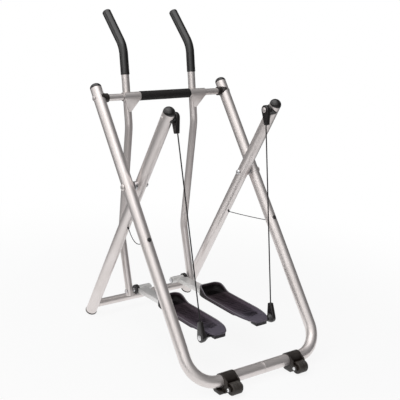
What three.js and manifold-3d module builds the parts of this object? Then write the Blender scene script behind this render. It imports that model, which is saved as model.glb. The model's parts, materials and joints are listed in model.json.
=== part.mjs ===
// Folding air walker: two crossed tube frames, two swinging arms that carry footplates at their
// lower ends, and two steel cables that hold the footplates' rear ends. Millimetres, +X to the
// walker's right, +Y to its front, +Z up. The floor is at Z = 0, and the origin is under the
// middle of the whole machine.
import * as THREE from 'three'
import { mergeVertices } from 'three/addons/utils/BufferGeometryUtils.js'
import Module from 'manifold-3d'

const manifold = await Module()
manifold.setup()

const degrees = Math.PI / 180

// Fits
const seatGap = 0.3
const runningGap = 0.35
const cutOverrun = 3

// Facets round a tube, a turned piece and a small pin
const tubeSides = 14
const turnedSides = 18
const pinSides = 12
const ropeSides = 8
const arcSteps = 4

// Crossed frames, measured from the pivot where their legs cross
const pivotHeight = 641
const rearTilt = 37.7 * degrees
const frontTilt = 27.6 * degrees
const rearHalfWidth = 300
const frameTubeRadius = 22.25
const frameTubeWall = 1.8
const rearUpperLength = 405.5
const floorTubeHeight = 39
const floorBendRadius = 106
const frontUpperLength = 337.6
const crossTubeSetback = 35.7
const crossTubeRadius = 16
const smallTubeWall = 1.6
const swageLength = 60
const swageShoulder = 6
const seamGap = 0.3
const seamOffset = 8

// End caps of the frames
const capSpigotDepth = 14
const capRim = 2.5
const rearCapHeight = 19
const frontCapHeight = 22
const footCapRadius = 23.6
const footCapThickness = 6

// Crossbar between the rear frame's upper ends
const crossbarRise = 364
const crossbarRadius = 13
const saddleRadius = 17.3
const saddleReach = 37
const saddleSpigot = 16
const saddleWrap = 2.4
const saddleLipReach = 23.7
const foamClearance = 0.5
const foamRadius = 18.4
const tieRodRadius = 4.5
const boltHeadRadius = 9
const boltHeadHeight = 5
const boltHeadRim = 1.6

// Crossing pivot
const pivotBoltRadius = 6
const pivotHeadRadius = 12
const pivotHeadHeight = 7
const pivotSpacerRadius = 17
const pivotSpacerLength = 8.4
const pivotNutRadius = 10.5
const pivotNutHeight = 10

// Fold stays
const stayBoltDrop = 217
const stayBoltRadius = 3.5
const stayHeadRadius = 8
const stayHeadHeight = 4
const stayTip = 6
const stayAnchorDrop = 199
const stayPlugRadius = 4
const stayPlugTip = 6
const stayEyeRadius = 7.5
const stayEyeThickness = 4
const stayRopeRadius = 1.5
const staySagLeft = 24
const staySagRight = 1.5
const staySteps = 12

// Floor clamps and transport wheels
const clampBendClearance = 7
const clampWidth = 60
const clampRadius = 25.5
const footRear = 28
const footFront = 5
const footNose = 15
const footNoseRise = 9
const footSideReach = 20
const wheelRadius = 23
const wheelWidth = 44
const wheelBack = 48
const wheelFloorGap = 1
const wheelGroove = 2
const wheelGrooveWidth = 4
const wheelEdge = 3
const wheelSideGap = 1.5
const wheelWellGap = 1.5
const axleRadius = 4
const axleBossRadius = 11.5
const axleHeadRadius = 6.5
const axleHeadHeight = 2.5

// Swing arms. They hang a little apart at rest, the left one further back.
const restLean = { left: -0.8 * degrees, right: 0.1 * degrees }
const plateShare = 0.278
const cableShare = 1.019
const armShare = 0.643
const armTubeRadius = 15
const sleeveLength = 76
const sleeveRadius = 16.8
const sleeveWall = 2
const weldDepth = 1.2
const armLean = 11 * degrees
const handleRise = 192
const handleLean = 47 * degrees
const handleReach = 172
const handleBendRadius = 95
const bowDrop = 116
const bowLean = -3.5 * degrees
const bowLength = 456
const bowBendRadius = 170
const shinLean = 17.7 * degrees
const shinLength = 227
const shinBendRadius = 130
const armEndPast = 20
const gripStart = 85
const gripRadius = 17.3
const gripEndThickness = 7
const gripEndRim = 3
const gussetThickness = 3
const gussetDrop = 58
const gussetTip = 12
const gussetInset = 2

// Lower pivot of the arm
const footBoltRadius = 5
const footBoltShoulderRadius = 9
const footBoltHeadRadius = 9
const footBoltHeadHeight = 6
const footNutHeight = 2.5
const discClearance = 11.5
const discThickness = 13.5
const discRadius = 19.5
const pivotTubeSpan = 72
const pivotTubeRadius = 14
const pivotTubeWall = 3.5

// Footplates, measured from the arm's lower pivot
const plateInset = 52.5
const bracketWidth = 44
const bracketHeight = 18
const bracketWall = 2.5
const bracketRise = 4.5
const bracketRiseLength = 130
const bracketTailGap = 1
const plateFront = 187
const plateLength = 344
const plateHalfWidth = 57
const toeHalfWidth = 26
const toeRound = 58
const tailLength = 105
const tailHalfWidth = 22
const plateSkin = 4.2
const rimHeight = 4
const rimWidth = 6
const toeHeight = 28
const toeTopLength = 14
const toeFallLength = 62
const toeWall = 5
const skirtDrop = 5.8
const skirtTailDrop = 1.8
const skirtStepBack = 238
const skirtStepLength = 14
const skirtWall = 3
const tailFall = 5
const tailBlockLength = 34
const tailBlockHalfWidth = 25
const tailBlockDrop = 22
const plateCurveSteps = 7
const rearStudSetback = 23
const rearStudRise = 4.5
const rearStudRadius = 4.5
const stubShankRadius = 7
const stubNeckRadius = 11
const stubFlareRadius = 17.5

// Suspension cables
const cableSaddleNeck = 5.15
const cableTopInset = 3.5
const cableOutset = 68.5
const cableStudSetback = 21.6
const cableStudRadius = 5
const cableStudHeadRadius = 10
const cableStudHeadHeight = 4
const cableStudTailRadius = 8
const bootEyeRadius = 18.5
const bootThickness = 16
const bootLength = 58
const bootEndHalfWidth = 8.5
const bootSocketDepth = 14
const bootSocketGap = 0.8
const cableRadius = 2

// Widths that follow from the rear frame's
const frontHalfWidth = rearHalfWidth - 2 * frameTubeRadius - pivotSpacerLength - 2 * seatGap
const clampCentre = rearHalfWidth - floorBendRadius - clampBendClearance - clampWidth / 2
const armX = armShare * frontHalfWidth
const sleeveInner = armX - sleeveLength / 2
const foamHalfLength = sleeveInner - foamClearance
const discOuter = armX - armTubeRadius - discClearance
const pivotTubeInner = discOuter - pivotTubeSpan
const plateCentre = armX - plateInset
const cableBottomX = plateCentre + cableOutset
const eyeTopX = frontHalfWidth - frameTubeRadius - cableSaddleNeck - 2 * seatGap - bootThickness / 2
const cableTopX = eyeTopX - cableTopInset

// Other values that follow from the ones above
const frameTubeBore = frameTubeRadius - frameTubeWall
const crossbarBore = crossbarRadius - smallTubeWall
const rearLowerLength = (pivotHeight - floorTubeHeight) / Math.cos(rearTilt)
const frontLowerLength = (pivotHeight - footCapRadius * Math.sin(frontTilt)) / Math.cos(frontTilt)
  - footCapThickness - seatGap
const crossTubeDrop = frontLowerLength - crossTubeSetback
const cableStudRise = frontUpperLength - cableStudSetback
const crossbarEnd = rearHalfWidth - saddleReach
const armOffset = sleeveRadius + armTubeRadius - weldDepth
const sleeveOuter = sleeveInner + sleeveLength
const sleeveBore = sleeveRadius - sleeveWall
const bracketTop = bracketRise + bracketHeight / 2
const skinUnder = bracketTop + seatGap
const plateFloor = skinUnder + plateSkin
const rimTop = plateFloor + rimHeight
const toeTop = plateFloor + toeHeight
const skirtBottom = skinUnder - skirtDrop
const skirtTailBottom = skinUnder - skirtTailDrop
const tailBlockBottom = plateFloor - tailBlockDrop
const plateEnd = plateFront + plateLength
const rearStudBack = plateEnd - rearStudSetback
const bracketLength = plateEnd - tailBlockLength - bracketTailGap
const stubOuter = cableBottomX - bootThickness / 2 - seatGap

// Materials
function paint(color, roughness, metalness) {
  return new THREE.MeshStandardMaterial({ color, roughness, metalness })
}
const silverPaint = paint(0xd2c9c4, 0.38, 0.55)
const zincSteel = paint(0xc9ccd0, 0.35, 0.9)
const blackPlastic = paint(0x1f1c1e, 0.5, 0)
const foamRubber = paint(0x242124, 0.85, 0)
const gripRubber = paint(0x3c3a3d, 0.8, 0)
const plateMoulding = paint(0x4d484f, 0.6, 0)
const nylon = paint(0x2b292b, 0.55, 0)
const steelRope = paint(0x4a4a4c, 0.45, 0.7)
const wheelRubber = paint(0x2e2628, 0.7, 0)

// Solids. A closed geometry becomes a solid whose faces point out.
function solid(geometry) {
  const bare = geometry.clone()
  bare.deleteAttribute('normal')
  bare.deleteAttribute('uv')
  const merged = mergeVertices(bare)
  const vertProperties = new Float32Array(merged.attributes.position.array)
  const corners = []
  let volume = 0
  const a = new THREE.Vector3()
  const b = new THREE.Vector3()
  const c = new THREE.Vector3()
  for (let i = 0; i < merged.index.count; i += 3) {
    const [p, q, r] = [0, 1, 2].map((k) => merged.index.getX(i + k))
    if (p === q || q === r || r === p) continue
    corners.push(p, q, r)
    a.fromBufferAttribute(merged.attributes.position, p)
    b.fromBufferAttribute(merged.attributes.position, q)
    c.fromBufferAttribute(merged.attributes.position, r)
    volume += a.dot(b.cross(c))
  }
  if (volume < 0) corners.reverse()
  const triVerts = new Uint32Array(corners)
  return new manifold.Manifold(new manifold.Mesh({ numProp: 3, vertProperties, triVerts }))
}

function joined(solids) {
  return solids.reduce((whole, next) => whole.add(next))
}

function piece(group, name, whole, material) {
  const { vertProperties, triVerts } = whole.getMesh()
  const geometry = new THREE.BufferGeometry()
  geometry.setAttribute('position', new THREE.BufferAttribute(new Float32Array(vertProperties), 3))
  geometry.setIndex(new THREE.BufferAttribute(new Uint32Array(triVerts), 1))
  const mesh = new THREE.Mesh(geometry, material)
  mesh.name = name
  group.add(mesh)
  return mesh
}

// Radii that keep a gap between two faceted rounds, however their facets are turned
function insideOf(radius, sides, gap) {
  return radius * Math.cos(Math.PI / sides) - gap
}

function around(radius, sides, gap) {
  return (radius + gap) / Math.cos(Math.PI / sides)
}

function circle(radius, sides) {
  const points = []
  for (let i = 0; i < sides; i += 1) {
    const angle = (2 * Math.PI * i) / sides
    points.push(new THREE.Vector2(radius * Math.cos(angle), radius * Math.sin(angle)))
  }
  return points
}

// A route of straight stretches with an arc at each corner, given as its stations
class BentRoute extends THREE.Curve {
  constructor(corners, radii) {
    super()
    this.points = [corners[0]]
    this.tangents = [corners[1].clone().sub(corners[0]).normalize()]
    for (let i = 1; i < corners.length - 1; i += 1) this.addBend(corners, i, radii[i - 1])
    const last = corners.length - 1
    this.points.push(corners[last])
    this.tangents.push(corners[last].clone().sub(corners[last - 1]).normalize())
    this.steps = this.points.length - 1
  }

  addBend(corners, i, radius) {
    const into = corners[i].clone().sub(corners[i - 1]).normalize()
    const outOf = corners[i + 1].clone().sub(corners[i]).normalize()
    const turn = into.angleTo(outOf)
    const axis = into.clone().cross(outOf).normalize()
    const inward = axis.clone().cross(into)
    const start = corners[i].clone().addScaledVector(into, -radius * Math.tan(turn / 2))
    const centre = start.clone().addScaledVector(inward, radius)
    for (let step = 0; step <= arcSteps; step += 1) {
      const angle = (turn * step) / arcSteps
      const spoke = inward.clone().multiplyScalar(-radius).applyAxisAngle(axis, angle)
      this.points.push(centre.clone().add(spoke))
      this.tangents.push(into.clone().applyAxisAngle(axis, angle))
    }
  }

  getPoint(t, target = new THREE.Vector3()) {
    return target.copy(this.points[Math.round(t * this.steps)])
  }

  getPointAt(u, target) {
    return this.getPoint(u, target)
  }

  getTangent(t, target = new THREE.Vector3()) {
    return target.copy(this.tangents[Math.round(t * this.steps)])
  }

  getTangentAt(u, target) {
    return this.getTangent(u, target)
  }
}

function swept(route, outer, inner, sides) {
  const section = new THREE.Shape(circle(outer, sides))
  if (inner > 0) section.holes.push(new THREE.Path(circle(inner, sides)))
  const settings = { extrudePath: route, steps: route.steps, bevelEnabled: false }
  return solid(new THREE.ExtrudeGeometry(section, settings))
}

function straightTube(from, to, outer, inner, sides) {
  return swept(new BentRoute([from, to], []), outer, inner, sides)
}

// A piece turned about the line through place along direction; the profile is [radius, height]
function turned(profile, place, direction, sides) {
  const points = profile.map(([radius, height]) => new THREE.Vector2(radius, height))
  const geometry = new THREE.LatheGeometry(points, sides)
  const up = new THREE.Vector3(0, 1, 0)
  const turn = new THREE.Quaternion().setFromUnitVectors(up, direction.clone().normalize())
  geometry.applyQuaternion(turn)
  geometry.translate(place.x, place.y, place.z)
  return solid(geometry)
}

function rod(from, to, radius, sides) {
  const length = to.distanceTo(from)
  const profile = [[0, 0], [radius, 0], [radius, length], [0, length]]
  return turned(profile, from, to.clone().sub(from), sides)
}

function ring(from, to, outer, inner, sides) {
  const length = to.distanceTo(from)
  const profile = [[inner, 0], [outer, 0], [outer, length], [inner, length], [inner, 0]]
  return turned(profile, from, to.clone().sub(from), sides)
}

function domeProfile(radius, height, rim, steps) {
  const profile = []
  for (let i = 0; i <= steps; i += 1) {
    const angle = (Math.PI / 2) * (i / steps)
    profile.push([radius * Math.cos(angle), rim + (height - rim) * Math.sin(angle)])
  }
  profile[steps][0] = 0
  return profile
}

// A bolt head with a low dome, standing on the plane through place
function headProfile(shankRadius, shankLength, headRadius, headHeight) {
  const domeSteps = 3
  return [
    [0, -shankLength], [shankRadius, -shankLength], [shankRadius, 0], [headRadius, 0],
    ...domeProfile(headRadius, headHeight, boltHeadRim, domeSteps),
  ]
}

// A flat outline in the YZ plane, given in [y, z], made thick along X between two planes
function slab(outline, fromX, toX) {
  const shape = new THREE.Shape(outline.map(([y, z]) => new THREE.Vector2(y, z)))
  const geometry = new THREE.ExtrudeGeometry(shape, { depth: Math.abs(toX - fromX), bevelEnabled: false })
  const basis = new THREE.Matrix4().makeBasis(axisY, axisZ, axisX)
  geometry.applyMatrix4(basis)
  geometry.translate(Math.min(fromX, toX), 0, 0)
  return solid(geometry)
}

const axisX = new THREE.Vector3(1, 0, 0)
const axisY = new THREE.Vector3(0, 1, 0)
const axisZ = new THREE.Vector3(0, 0, 1)

function at(x, y, z) {
  return new THREE.Vector3(x, y, z)
}

function outward(side) {
  return at(side, 0, 0)
}

const sides = [['left', -1], ['right', 1]]
const frameSpigot = insideOf(frameTubeBore, tubeSides, seatGap)

const machine = new THREE.Group()

// Rear frame: both legs and the floor tube lie in one tilted plane
const rearFrame = new THREE.Group()
rearFrame.position.z = pivotHeight
rearFrame.rotation.x = -rearTilt
machine.add(rearFrame)

function crossHole(x, z, radius, reach) {
  const hole = around(radius, pinSides, runningGap)
  return rod(at(x - reach, 0, z), at(x + reach, 0, z), hole, pinSides)
}

function seamPoint(side) {
  return at(seamOffset + side * seamGap / 2, 0, -rearLowerLength)
}

// The right half's floor end is narrowed to slide into the left half
function swage() {
  const inner = frameSpigot - frameTubeWall
  const seam = seamPoint(1)
  const neckEnd = at(seam.x - swageLength, 0, -rearLowerLength)
  const shoulder = at(seam.x + swageShoulder, 0, -rearLowerLength)
  return ring(neckEnd, shoulder, frameSpigot, inner, tubeSides)
    .add(ring(seam, shoulder, frameTubeBore + frameTubeWall / 2, inner, tubeSides))
}

function rearTube(side) {
  const x = side * rearHalfWidth
  const corners = [at(x, 0, rearUpperLength), at(x, 0, -rearLowerLength), seamPoint(side)]
  const half = swept(new BentRoute(corners, [floorBendRadius]), frameTubeRadius, frameTubeBore, tubeSides)
  const tube = side > 0 ? half.add(swage()) : half
  const reach = frameTubeRadius + cutOverrun
  const stayHole = around(stayBoltRadius, pinSides, seatGap)
  return tube
    .subtract(crossHole(x, crossbarRise, tieRodRadius, reach))
    .subtract(crossHole(x, 0, pivotBoltRadius, reach))
    .subtract(rod(at(x, -reach, -stayBoltDrop), at(x, reach, -stayBoltDrop), stayHole, pinSides))
}

function plug(spigotRadius, flangeRadius, height, place, direction) {
  const domeSteps = 5
  const dome = domeProfile(flangeRadius, height, capRim, domeSteps).map(([r, h]) => [r, h + seatGap])
  const profile = [
    [0, -capSpigotDepth], [spigotRadius, -capSpigotDepth], [spigotRadius, seatGap],
    [flangeRadius, seatGap], ...dome,
  ]
  return turned(profile, place, direction, turnedSides)
}

for (const [name, side] of sides) {
  piece(rearFrame, `rear_frame_tube_${name}`, rearTube(side), silverPaint)
  const top = at(side * rearHalfWidth, 0, rearUpperLength)
  const cap = plug(frameSpigot, frameTubeRadius, rearCapHeight, top, axisZ)
  piece(rearFrame, `rear_frame_cap_${name}`, cap, blackPlastic)
}

// Room for a frame leg in a piece that fits against it at the height z
function legSpace(x, z, reach) {
  const radius = around(frameTubeRadius, tubeSides, seatGap)
  return rod(at(x, 0, z - reach), at(x, 0, z + reach), radius, tubeSides)
}

// The mouth of a saddle: a thin shell round the leg's inner half, cut to an oval with pointed ends
function saddleLips(x, z) {
  const radius = around(frameTubeRadius, tubeSides, seatGap) + saddleWrap
  const shell = rod(at(x, 0, z - saddleRadius), at(x, 0, z + saddleRadius), radius, turnedSides)
  const stretch = saddleLipReach / saddleRadius
  const oval = circle(saddleRadius, turnedSides).map((point) => [stretch * point.x, z + point.y])
  return shell.intersect(slab(oval, x - Math.sign(x) * radius, x))
}

// Crossbar with its saddles, foam and end bolts
function saddle(side) {
  const inner = at(side * crossbarEnd, 0, crossbarRise)
  const spigot = at(side * (crossbarEnd - saddleSpigot), 0, crossbarRise)
  const outer = at(side * rearHalfWidth, 0, crossbarRise)
  const bore = crossHole(side * crossbarEnd, crossbarRise, tieRodRadius, saddleReach)
  return rod(inner, outer, saddleRadius, turnedSides)
    .add(rod(spigot, outer, insideOf(crossbarBore, tubeSides, seatGap), turnedSides))
    .add(saddleLips(side * rearHalfWidth, crossbarRise))
    .subtract(legSpace(side * rearHalfWidth, crossbarRise, saddleReach))
    .subtract(bore)
}

function sideBolt(side, x, z, radius, inner, headRadius, headHeight) {
  const seat = side * (x + frameTubeRadius + seatGap)
  const length = x + frameTubeRadius + seatGap - inner
  const profile = headProfile(radius, length, headRadius, headHeight)
  return turned(profile, at(seat, 0, z), outward(side), pinSides)
}

const crossbarReach = crossbarEnd - seatGap
const crossbar = straightTube(
  at(-crossbarReach, 0, crossbarRise), at(crossbarReach, 0, crossbarRise),
  crossbarRadius, crossbarBore, tubeSides,
)
piece(rearFrame, 'crossbar_tube', crossbar, silverPaint)
// One rod through saddles and crossbar clamps the legs, with a domed nut at each end
function tieRod() {
  const seat = rearHalfWidth + frameTubeRadius + seatGap
  const profile = headProfile(tieRodRadius, seat, boltHeadRadius, boltHeadHeight)
  const half = (side) => turned(profile, at(side * seat, 0, crossbarRise), outward(side), pinSides)
  return joined(sides.map(([, side]) => half(side)))
}
piece(rearFrame, 'crossbar_tie_rod', tieRod(), zincSteel)
const foam = ring(
  at(-foamHalfLength, 0, crossbarRise), at(foamHalfLength, 0, crossbarRise),
  foamRadius, around(crossbarRadius, turnedSides, seatGap), turnedSides,
)
piece(rearFrame, 'crossbar_grip', foam, foamRubber)

// Pivot where the two frames cross
const frontOuterFace = frontHalfWidth + frameTubeRadius
const frontInnerFace = frontHalfWidth - frameTubeRadius
const rearInnerFace = rearHalfWidth - frameTubeRadius
const nutSeat = frontInnerFace - seatGap
const spacerBore = around(pivotBoltRadius, pinSides, seatGap)

function pivotBolt(side) {
  const inner = nutSeat - pivotNutHeight / 2
  return sideBolt(side, rearHalfWidth, 0, pivotBoltRadius, inner, pivotHeadRadius, pivotHeadHeight)
}

function pivotSpacer(side) {
  const from = at(side * (frontOuterFace + seatGap), 0, 0)
  const to = at(side * (rearInnerFace - seatGap), 0, 0)
  return ring(from, to, pivotSpacerRadius, spacerBore, turnedSides)
}

function pivotNut(side) {
  const bore = spacerBore
  const depth = pivotNutHeight / 2 + seatGap
  const domeSteps = 3
  const dome = domeProfile(pivotNutRadius, pivotNutHeight, boltHeadRim, domeSteps)
  const profile = [[0, depth], [bore, depth], [bore, 0], [pivotNutRadius, 0], ...dome]
  return turned(profile, at(side * nutSeat, 0, 0), outward(-side), pinSides)
}

// Bolts that hold the fold stays on the rear frame, heads to the rear
function stayBolt(side) {
  const seat = at(side * rearHalfWidth, -frameTubeRadius - seatGap, -stayBoltDrop)
  const length = 2 * (frameTubeRadius + seatGap) + stayTip
  const profile = headProfile(stayBoltRadius, length, stayHeadRadius, stayHeadHeight)
  return turned(profile, seat, axisY.clone().negate(), pinSides)
}

for (const [name, side] of sides) {
  piece(rearFrame, `crossbar_saddle_${name}`, saddle(side), blackPlastic)
  piece(rearFrame, `pivot_bolt_${name}`, pivotBolt(side), zincSteel)
  piece(rearFrame, `pivot_spacer_${name}`, pivotSpacer(side), zincSteel)
  piece(rearFrame, `pivot_nut_${name}`, pivotNut(side), zincSteel)
  piece(rearFrame, `stay_bolt_${name}`, stayBolt(side), blackPlastic)
}

// Front frame: two straight legs joined by a tube near the floor
const frontFrame = new THREE.Group()
frontFrame.position.z = pivotHeight
frontFrame.rotation.x = frontTilt
machine.add(frontFrame)

function frontLeg(side) {
  const x = side * frontHalfWidth
  const tube = straightTube(
    at(x, 0, frontUpperLength), at(x, 0, -frontLowerLength), frameTubeRadius, frameTubeBore, tubeSides,
  )
  const reach = frameTubeRadius + cutOverrun
  const plugHole = around(stayPlugRadius, pinSides, seatGap)
  return tube
    .subtract(crossHole(x, cableStudRise, cableStudRadius, reach))
    .subtract(crossHole(x, 0, pivotBoltRadius, reach))
    .subtract(rod(at(x, -reach, -stayAnchorDrop), at(x, 0, -stayAnchorDrop), plugHole, pinSides))
}

for (const [name, side] of sides) {
  const x = side * frontHalfWidth
  piece(frontFrame, `front_leg_${name}`, frontLeg(side), silverPaint)
  const topCap = plug(frameSpigot, frameTubeRadius, frontCapHeight, at(x, 0, frontUpperLength), axisZ)
  piece(frontFrame, `front_leg_cap_${name}`, topCap, blackPlastic)
  const footProfile = [
    [0, -capSpigotDepth], [frameSpigot, -capSpigotDepth], [frameSpigot, seatGap],
    [footCapRadius, seatGap], [footCapRadius, footCapThickness + seatGap], [0, footCapThickness + seatGap],
  ]
  const footCap = turned(footProfile, at(x, 0, -frontLowerLength), axisZ.clone().negate(), turnedSides)
  piece(frontFrame, `front_leg_foot_${name}`, footCap, wheelRubber)
}

function crossTube() {
  const tube = straightTube(
    at(-frontHalfWidth, 0, -crossTubeDrop), at(frontHalfWidth, 0, -crossTubeDrop),
    crossTubeRadius, crossTubeRadius - smallTubeWall, tubeSides,
  )
  const reach = crossTubeRadius + cutOverrun
  const cuts = sides.map(([, side]) => legSpace(side * frontHalfWidth, -crossTubeDrop, reach))
  const larger = (a, b) => (a.volume() > b.volume() ? a : b)
  return tube.subtract(joined(cuts)).decompose().reduce(larger)
}
piece(frontFrame, 'front_cross_tube', crossTube(), silverPaint)

// Pins that carry the cables, through the tops of the front legs
function cableStud(side) {
  const seat = eyeTopX - bootThickness / 2 - seatGap
  const tail = frontOuterFace + seatGap - seat
  const profile = [
    [0, -tail - cableStudHeadHeight], [cableStudTailRadius, -tail - cableStudHeadHeight],
    [cableStudTailRadius, -tail], [cableStudRadius, -tail],
    [cableStudRadius, 0], [cableStudHeadRadius, 0],
    ...domeProfile(cableStudHeadRadius, cableStudHeadHeight, boltHeadRim, 3),
  ]
  return turned(profile, at(side * seat, 0, cableStudRise), outward(-side), pinSides)
}
// Saddle between the front leg and the cable's upper eye
function collar(side) {
  const from = at(side * (eyeTopX + bootThickness / 2 + seatGap), 0, cableStudRise)
  const to = at(side * frontHalfWidth, 0, cableStudRise)
  return rod(from, to, saddleRadius, turnedSides)
    .add(saddleLips(side * frontHalfWidth, cableStudRise))
    .subtract(legSpace(side * frontHalfWidth, cableStudRise, saddleReach))
    .subtract(crossHole(side * eyeTopX, cableStudRise, cableStudRadius, saddleReach))
}

for (const [name, side] of sides) {
  piece(frontFrame, `cable_stud_${name}`, cableStud(side), zincSteel)
  piece(frontFrame, `cable_collar_${name}`, collar(side), blackPlastic)
}

// Floor clamps on the rear frame's floor tube, with a wheel behind each
const floorGroup = new THREE.Group()
floorGroup.position.set(0, -rearLowerLength * Math.sin(rearTilt), floorTubeHeight)
machine.add(floorGroup)
const axleRise = wheelRadius + wheelFloorGap - floorTubeHeight
const axlePlace = (x) => at(x, -wheelBack, axleRise)

function clamp(side) {
  const centre = side * clampCentre
  const inner = centre - side * clampWidth / 2
  const outer = centre + side * clampWidth / 2
  const collar = rod(at(inner, 0, 0), at(outer, 0, 0), clampRadius, turnedSides)
  const shoulder = clampRadius * Math.SQRT1_2
  const body = slab([
    [-shoulder, shoulder], [-wheelBack, axleRise + axleBossRadius],
    [-wheelBack - axleBossRadius, axleRise], [-wheelBack, axleRise - axleBossRadius],
    [-footRear, -floorTubeHeight], [footFront, -floorTubeHeight],
    [footNose, -floorTubeHeight + footNoseRise], [shoulder, -shoulder], [0, 0],
  ], inner, outer)
  const lip = slab([
    [-footRear, -floorTubeHeight], [footFront, -floorTubeHeight],
    [footNose, -floorTubeHeight + footNoseRise], [footNose, -clampRadius], [-footRear, -clampRadius],
  ], outer - side * cutOverrun, outer + side * footSideReach)
  const slot = wheelWidth / 2 + wheelSideGap
  const wellRadius = wheelRadius + wheelWellGap
  const well = rod(axlePlace(centre - slot), axlePlace(centre + slot), wellRadius, turnedSides)
  const reach = clampWidth / 2 + cutOverrun
  const tubeSpace = around(frameTubeRadius, tubeSides, seatGap)
  const axleSpace = around(axleRadius, pinSides, seatGap)
  return collar.add(body).add(lip)
    .subtract(well)
    .subtract(rod(at(centre - reach, 0, 0), at(centre + reach, 0, 0), tubeSpace, tubeSides))
    .subtract(rod(axlePlace(centre - reach), axlePlace(centre + reach), axleSpace, pinSides))
}

function wheel(side) {
  const half = wheelWidth / 2
  const bore = around(axleRadius, pinSides, runningGap)
  const profile = [
    [bore, -half], [wheelRadius - wheelEdge, -half], [wheelRadius, -half + wheelEdge],
    [wheelRadius, -wheelGrooveWidth / 2], [wheelRadius - wheelGroove, 0], [wheelRadius, wheelGrooveWidth / 2],
    [wheelRadius, half - wheelEdge], [wheelRadius - wheelEdge, half], [bore, half], [bore, -half],
  ]
  return turned(profile, axlePlace(side * clampCentre), axisX, turnedSides)
}

function axle(side) {
  const half = clampWidth / 2 + seatGap
  const profile = [
    [0, -half - axleHeadHeight], [axleHeadRadius, -half - axleHeadHeight], [axleHeadRadius, -half],
    [axleRadius, -half], [axleRadius, half], [axleHeadRadius, half],
    [axleHeadRadius, half + axleHeadHeight], [0, half + axleHeadHeight],
  ]
  return turned(profile, axlePlace(side * clampCentre), axisX, pinSides)
}

for (const [name, side] of sides) {
  piece(floorGroup, `foot_clamp_${name}`, clamp(side), blackPlastic)
  piece(floorGroup, `wheel_${name}`, wheel(side), wheelRubber)
  piece(floorGroup, `wheel_axle_${name}`, axle(side), zincSteel)
}

// Swing arms, built round the crossbar's axis
const crossbarPlace = at(
  0, crossbarRise * Math.sin(rearTilt), pivotHeight + crossbarRise * Math.cos(rearTilt),
)
function slope(lean) {
  return at(0, Math.sin(lean), Math.cos(lean))
}
const armBeside = at(0, Math.cos(armLean), -Math.sin(armLean)).multiplyScalar(armOffset)
const handleBend = armBeside.clone().addScaledVector(slope(armLean), handleRise)
const handleEnd = handleBend.clone().addScaledVector(slope(handleLean), handleReach)
const bowBend = armBeside.clone().addScaledVector(slope(armLean), -bowDrop)
const shinBend = bowBend.clone().addScaledVector(slope(bowLean), -bowLength)
const footPivot = shinBend.clone().addScaledVector(slope(shinLean), -shinLength)
const armEnd = footPivot.clone().addScaledVector(slope(shinLean), -armEndPast)

function armRoute(x, points, radii) {
  return new BentRoute(points.map((point) => at(x, point.y, point.z)), radii)
}

// The tube, the sleeve that turns on the crossbar and the gusset between them are welded
function armWeldment(side) {
  const x = side * armX
  const route = armRoute(
    x, [handleEnd, handleBend, bowBend, shinBend, armEnd],
    [handleBendRadius, bowBendRadius, shinBendRadius],
  )
  const reach = armTubeRadius + cutOverrun
  const hole = around(footBoltRadius, pinSides, seatGap)
  const beside = (offset) => at(x + offset, footPivot.y, footPivot.z)
  const bolt = rod(beside(-reach), beside(reach), hole, pinSides)
  const sleeve = ring(
    at(side * sleeveInner, 0, 0), at(side * sleeveOuter, 0, 0), sleeveRadius, sleeveBore, turnedSides,
  )
  return swept(route, armTubeRadius, armTubeRadius - smallTubeWall, tubeSides)
    .subtract(bolt)
    .add(sleeve)
    .add(gusset(side * (sleeveInner + sleeveLength / 2)))
}

function armGrip(x) {
  const start = armBeside.clone().addScaledVector(slope(armLean), gripStart)
  const bore = around(armTubeRadius, tubeSides, seatGap)
  const route = armRoute(x, [start, handleBend, handleEnd], [handleBendRadius])
  const place = at(x, handleEnd.y, handleEnd.z)
  const domeSteps = 4
  const dome = domeProfile(gripRadius, gripEndThickness, gripEndRim, domeSteps)
  const profile = [[0, seatGap], [bore, seatGap], [bore, -weldDepth], [gripRadius, -weldDepth], ...dome]
  const end = turned(profile, place, slope(handleLean), tubeSides)
  return swept(route, gripRadius, bore, tubeSides).add(end)
}

function armBush(side) {
  const bore = around(crossbarRadius, turnedSides, runningGap)
  const outer = insideOf(sleeveBore, turnedSides, seatGap / 2)
  return ring(at(side * sleeveInner, 0, 0), at(side * sleeveOuter, 0, 0), outer, bore, turnedSides)
}

// The gusset leans from the sleeve's lower rear to the back of the arm tube
function gusset(x) {
  const foot = armBeside.clone().addScaledVector(slope(armLean), -gussetDrop)
  foot.addScaledVector(armBeside.clone().normalize(), weldDepth - armTubeRadius)
  const reach = Math.hypot(foot.y, foot.z)
  const span = sleeveRadius - weldDepth
  const rise = Math.sqrt(reach * reach - span * span)
  const towards = Math.atan2(-foot.z, -foot.y) + Math.atan2(span, rise)
  const direction = at(0, Math.cos(towards), Math.sin(towards))
  const away = at(0, -Math.sin(towards), Math.cos(towards))
  const top = sleeveLength / 2 - gussetInset
  const shape = new THREE.Shape([[-gussetTip / 2, 0], [gussetTip / 2, 0], [top, rise], [-top, rise]]
    .map(([across, up]) => new THREE.Vector2(across, up)))
  const geometry = new THREE.ExtrudeGeometry(shape, { depth: gussetThickness, bevelEnabled: false })
  geometry.applyMatrix4(new THREE.Matrix4().makeBasis(axisX, direction, away))
  geometry.translate(x, foot.y, foot.z)
  return solid(geometry)
}

const pivotTubeOuter = discOuter - discThickness - seatGap

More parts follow.
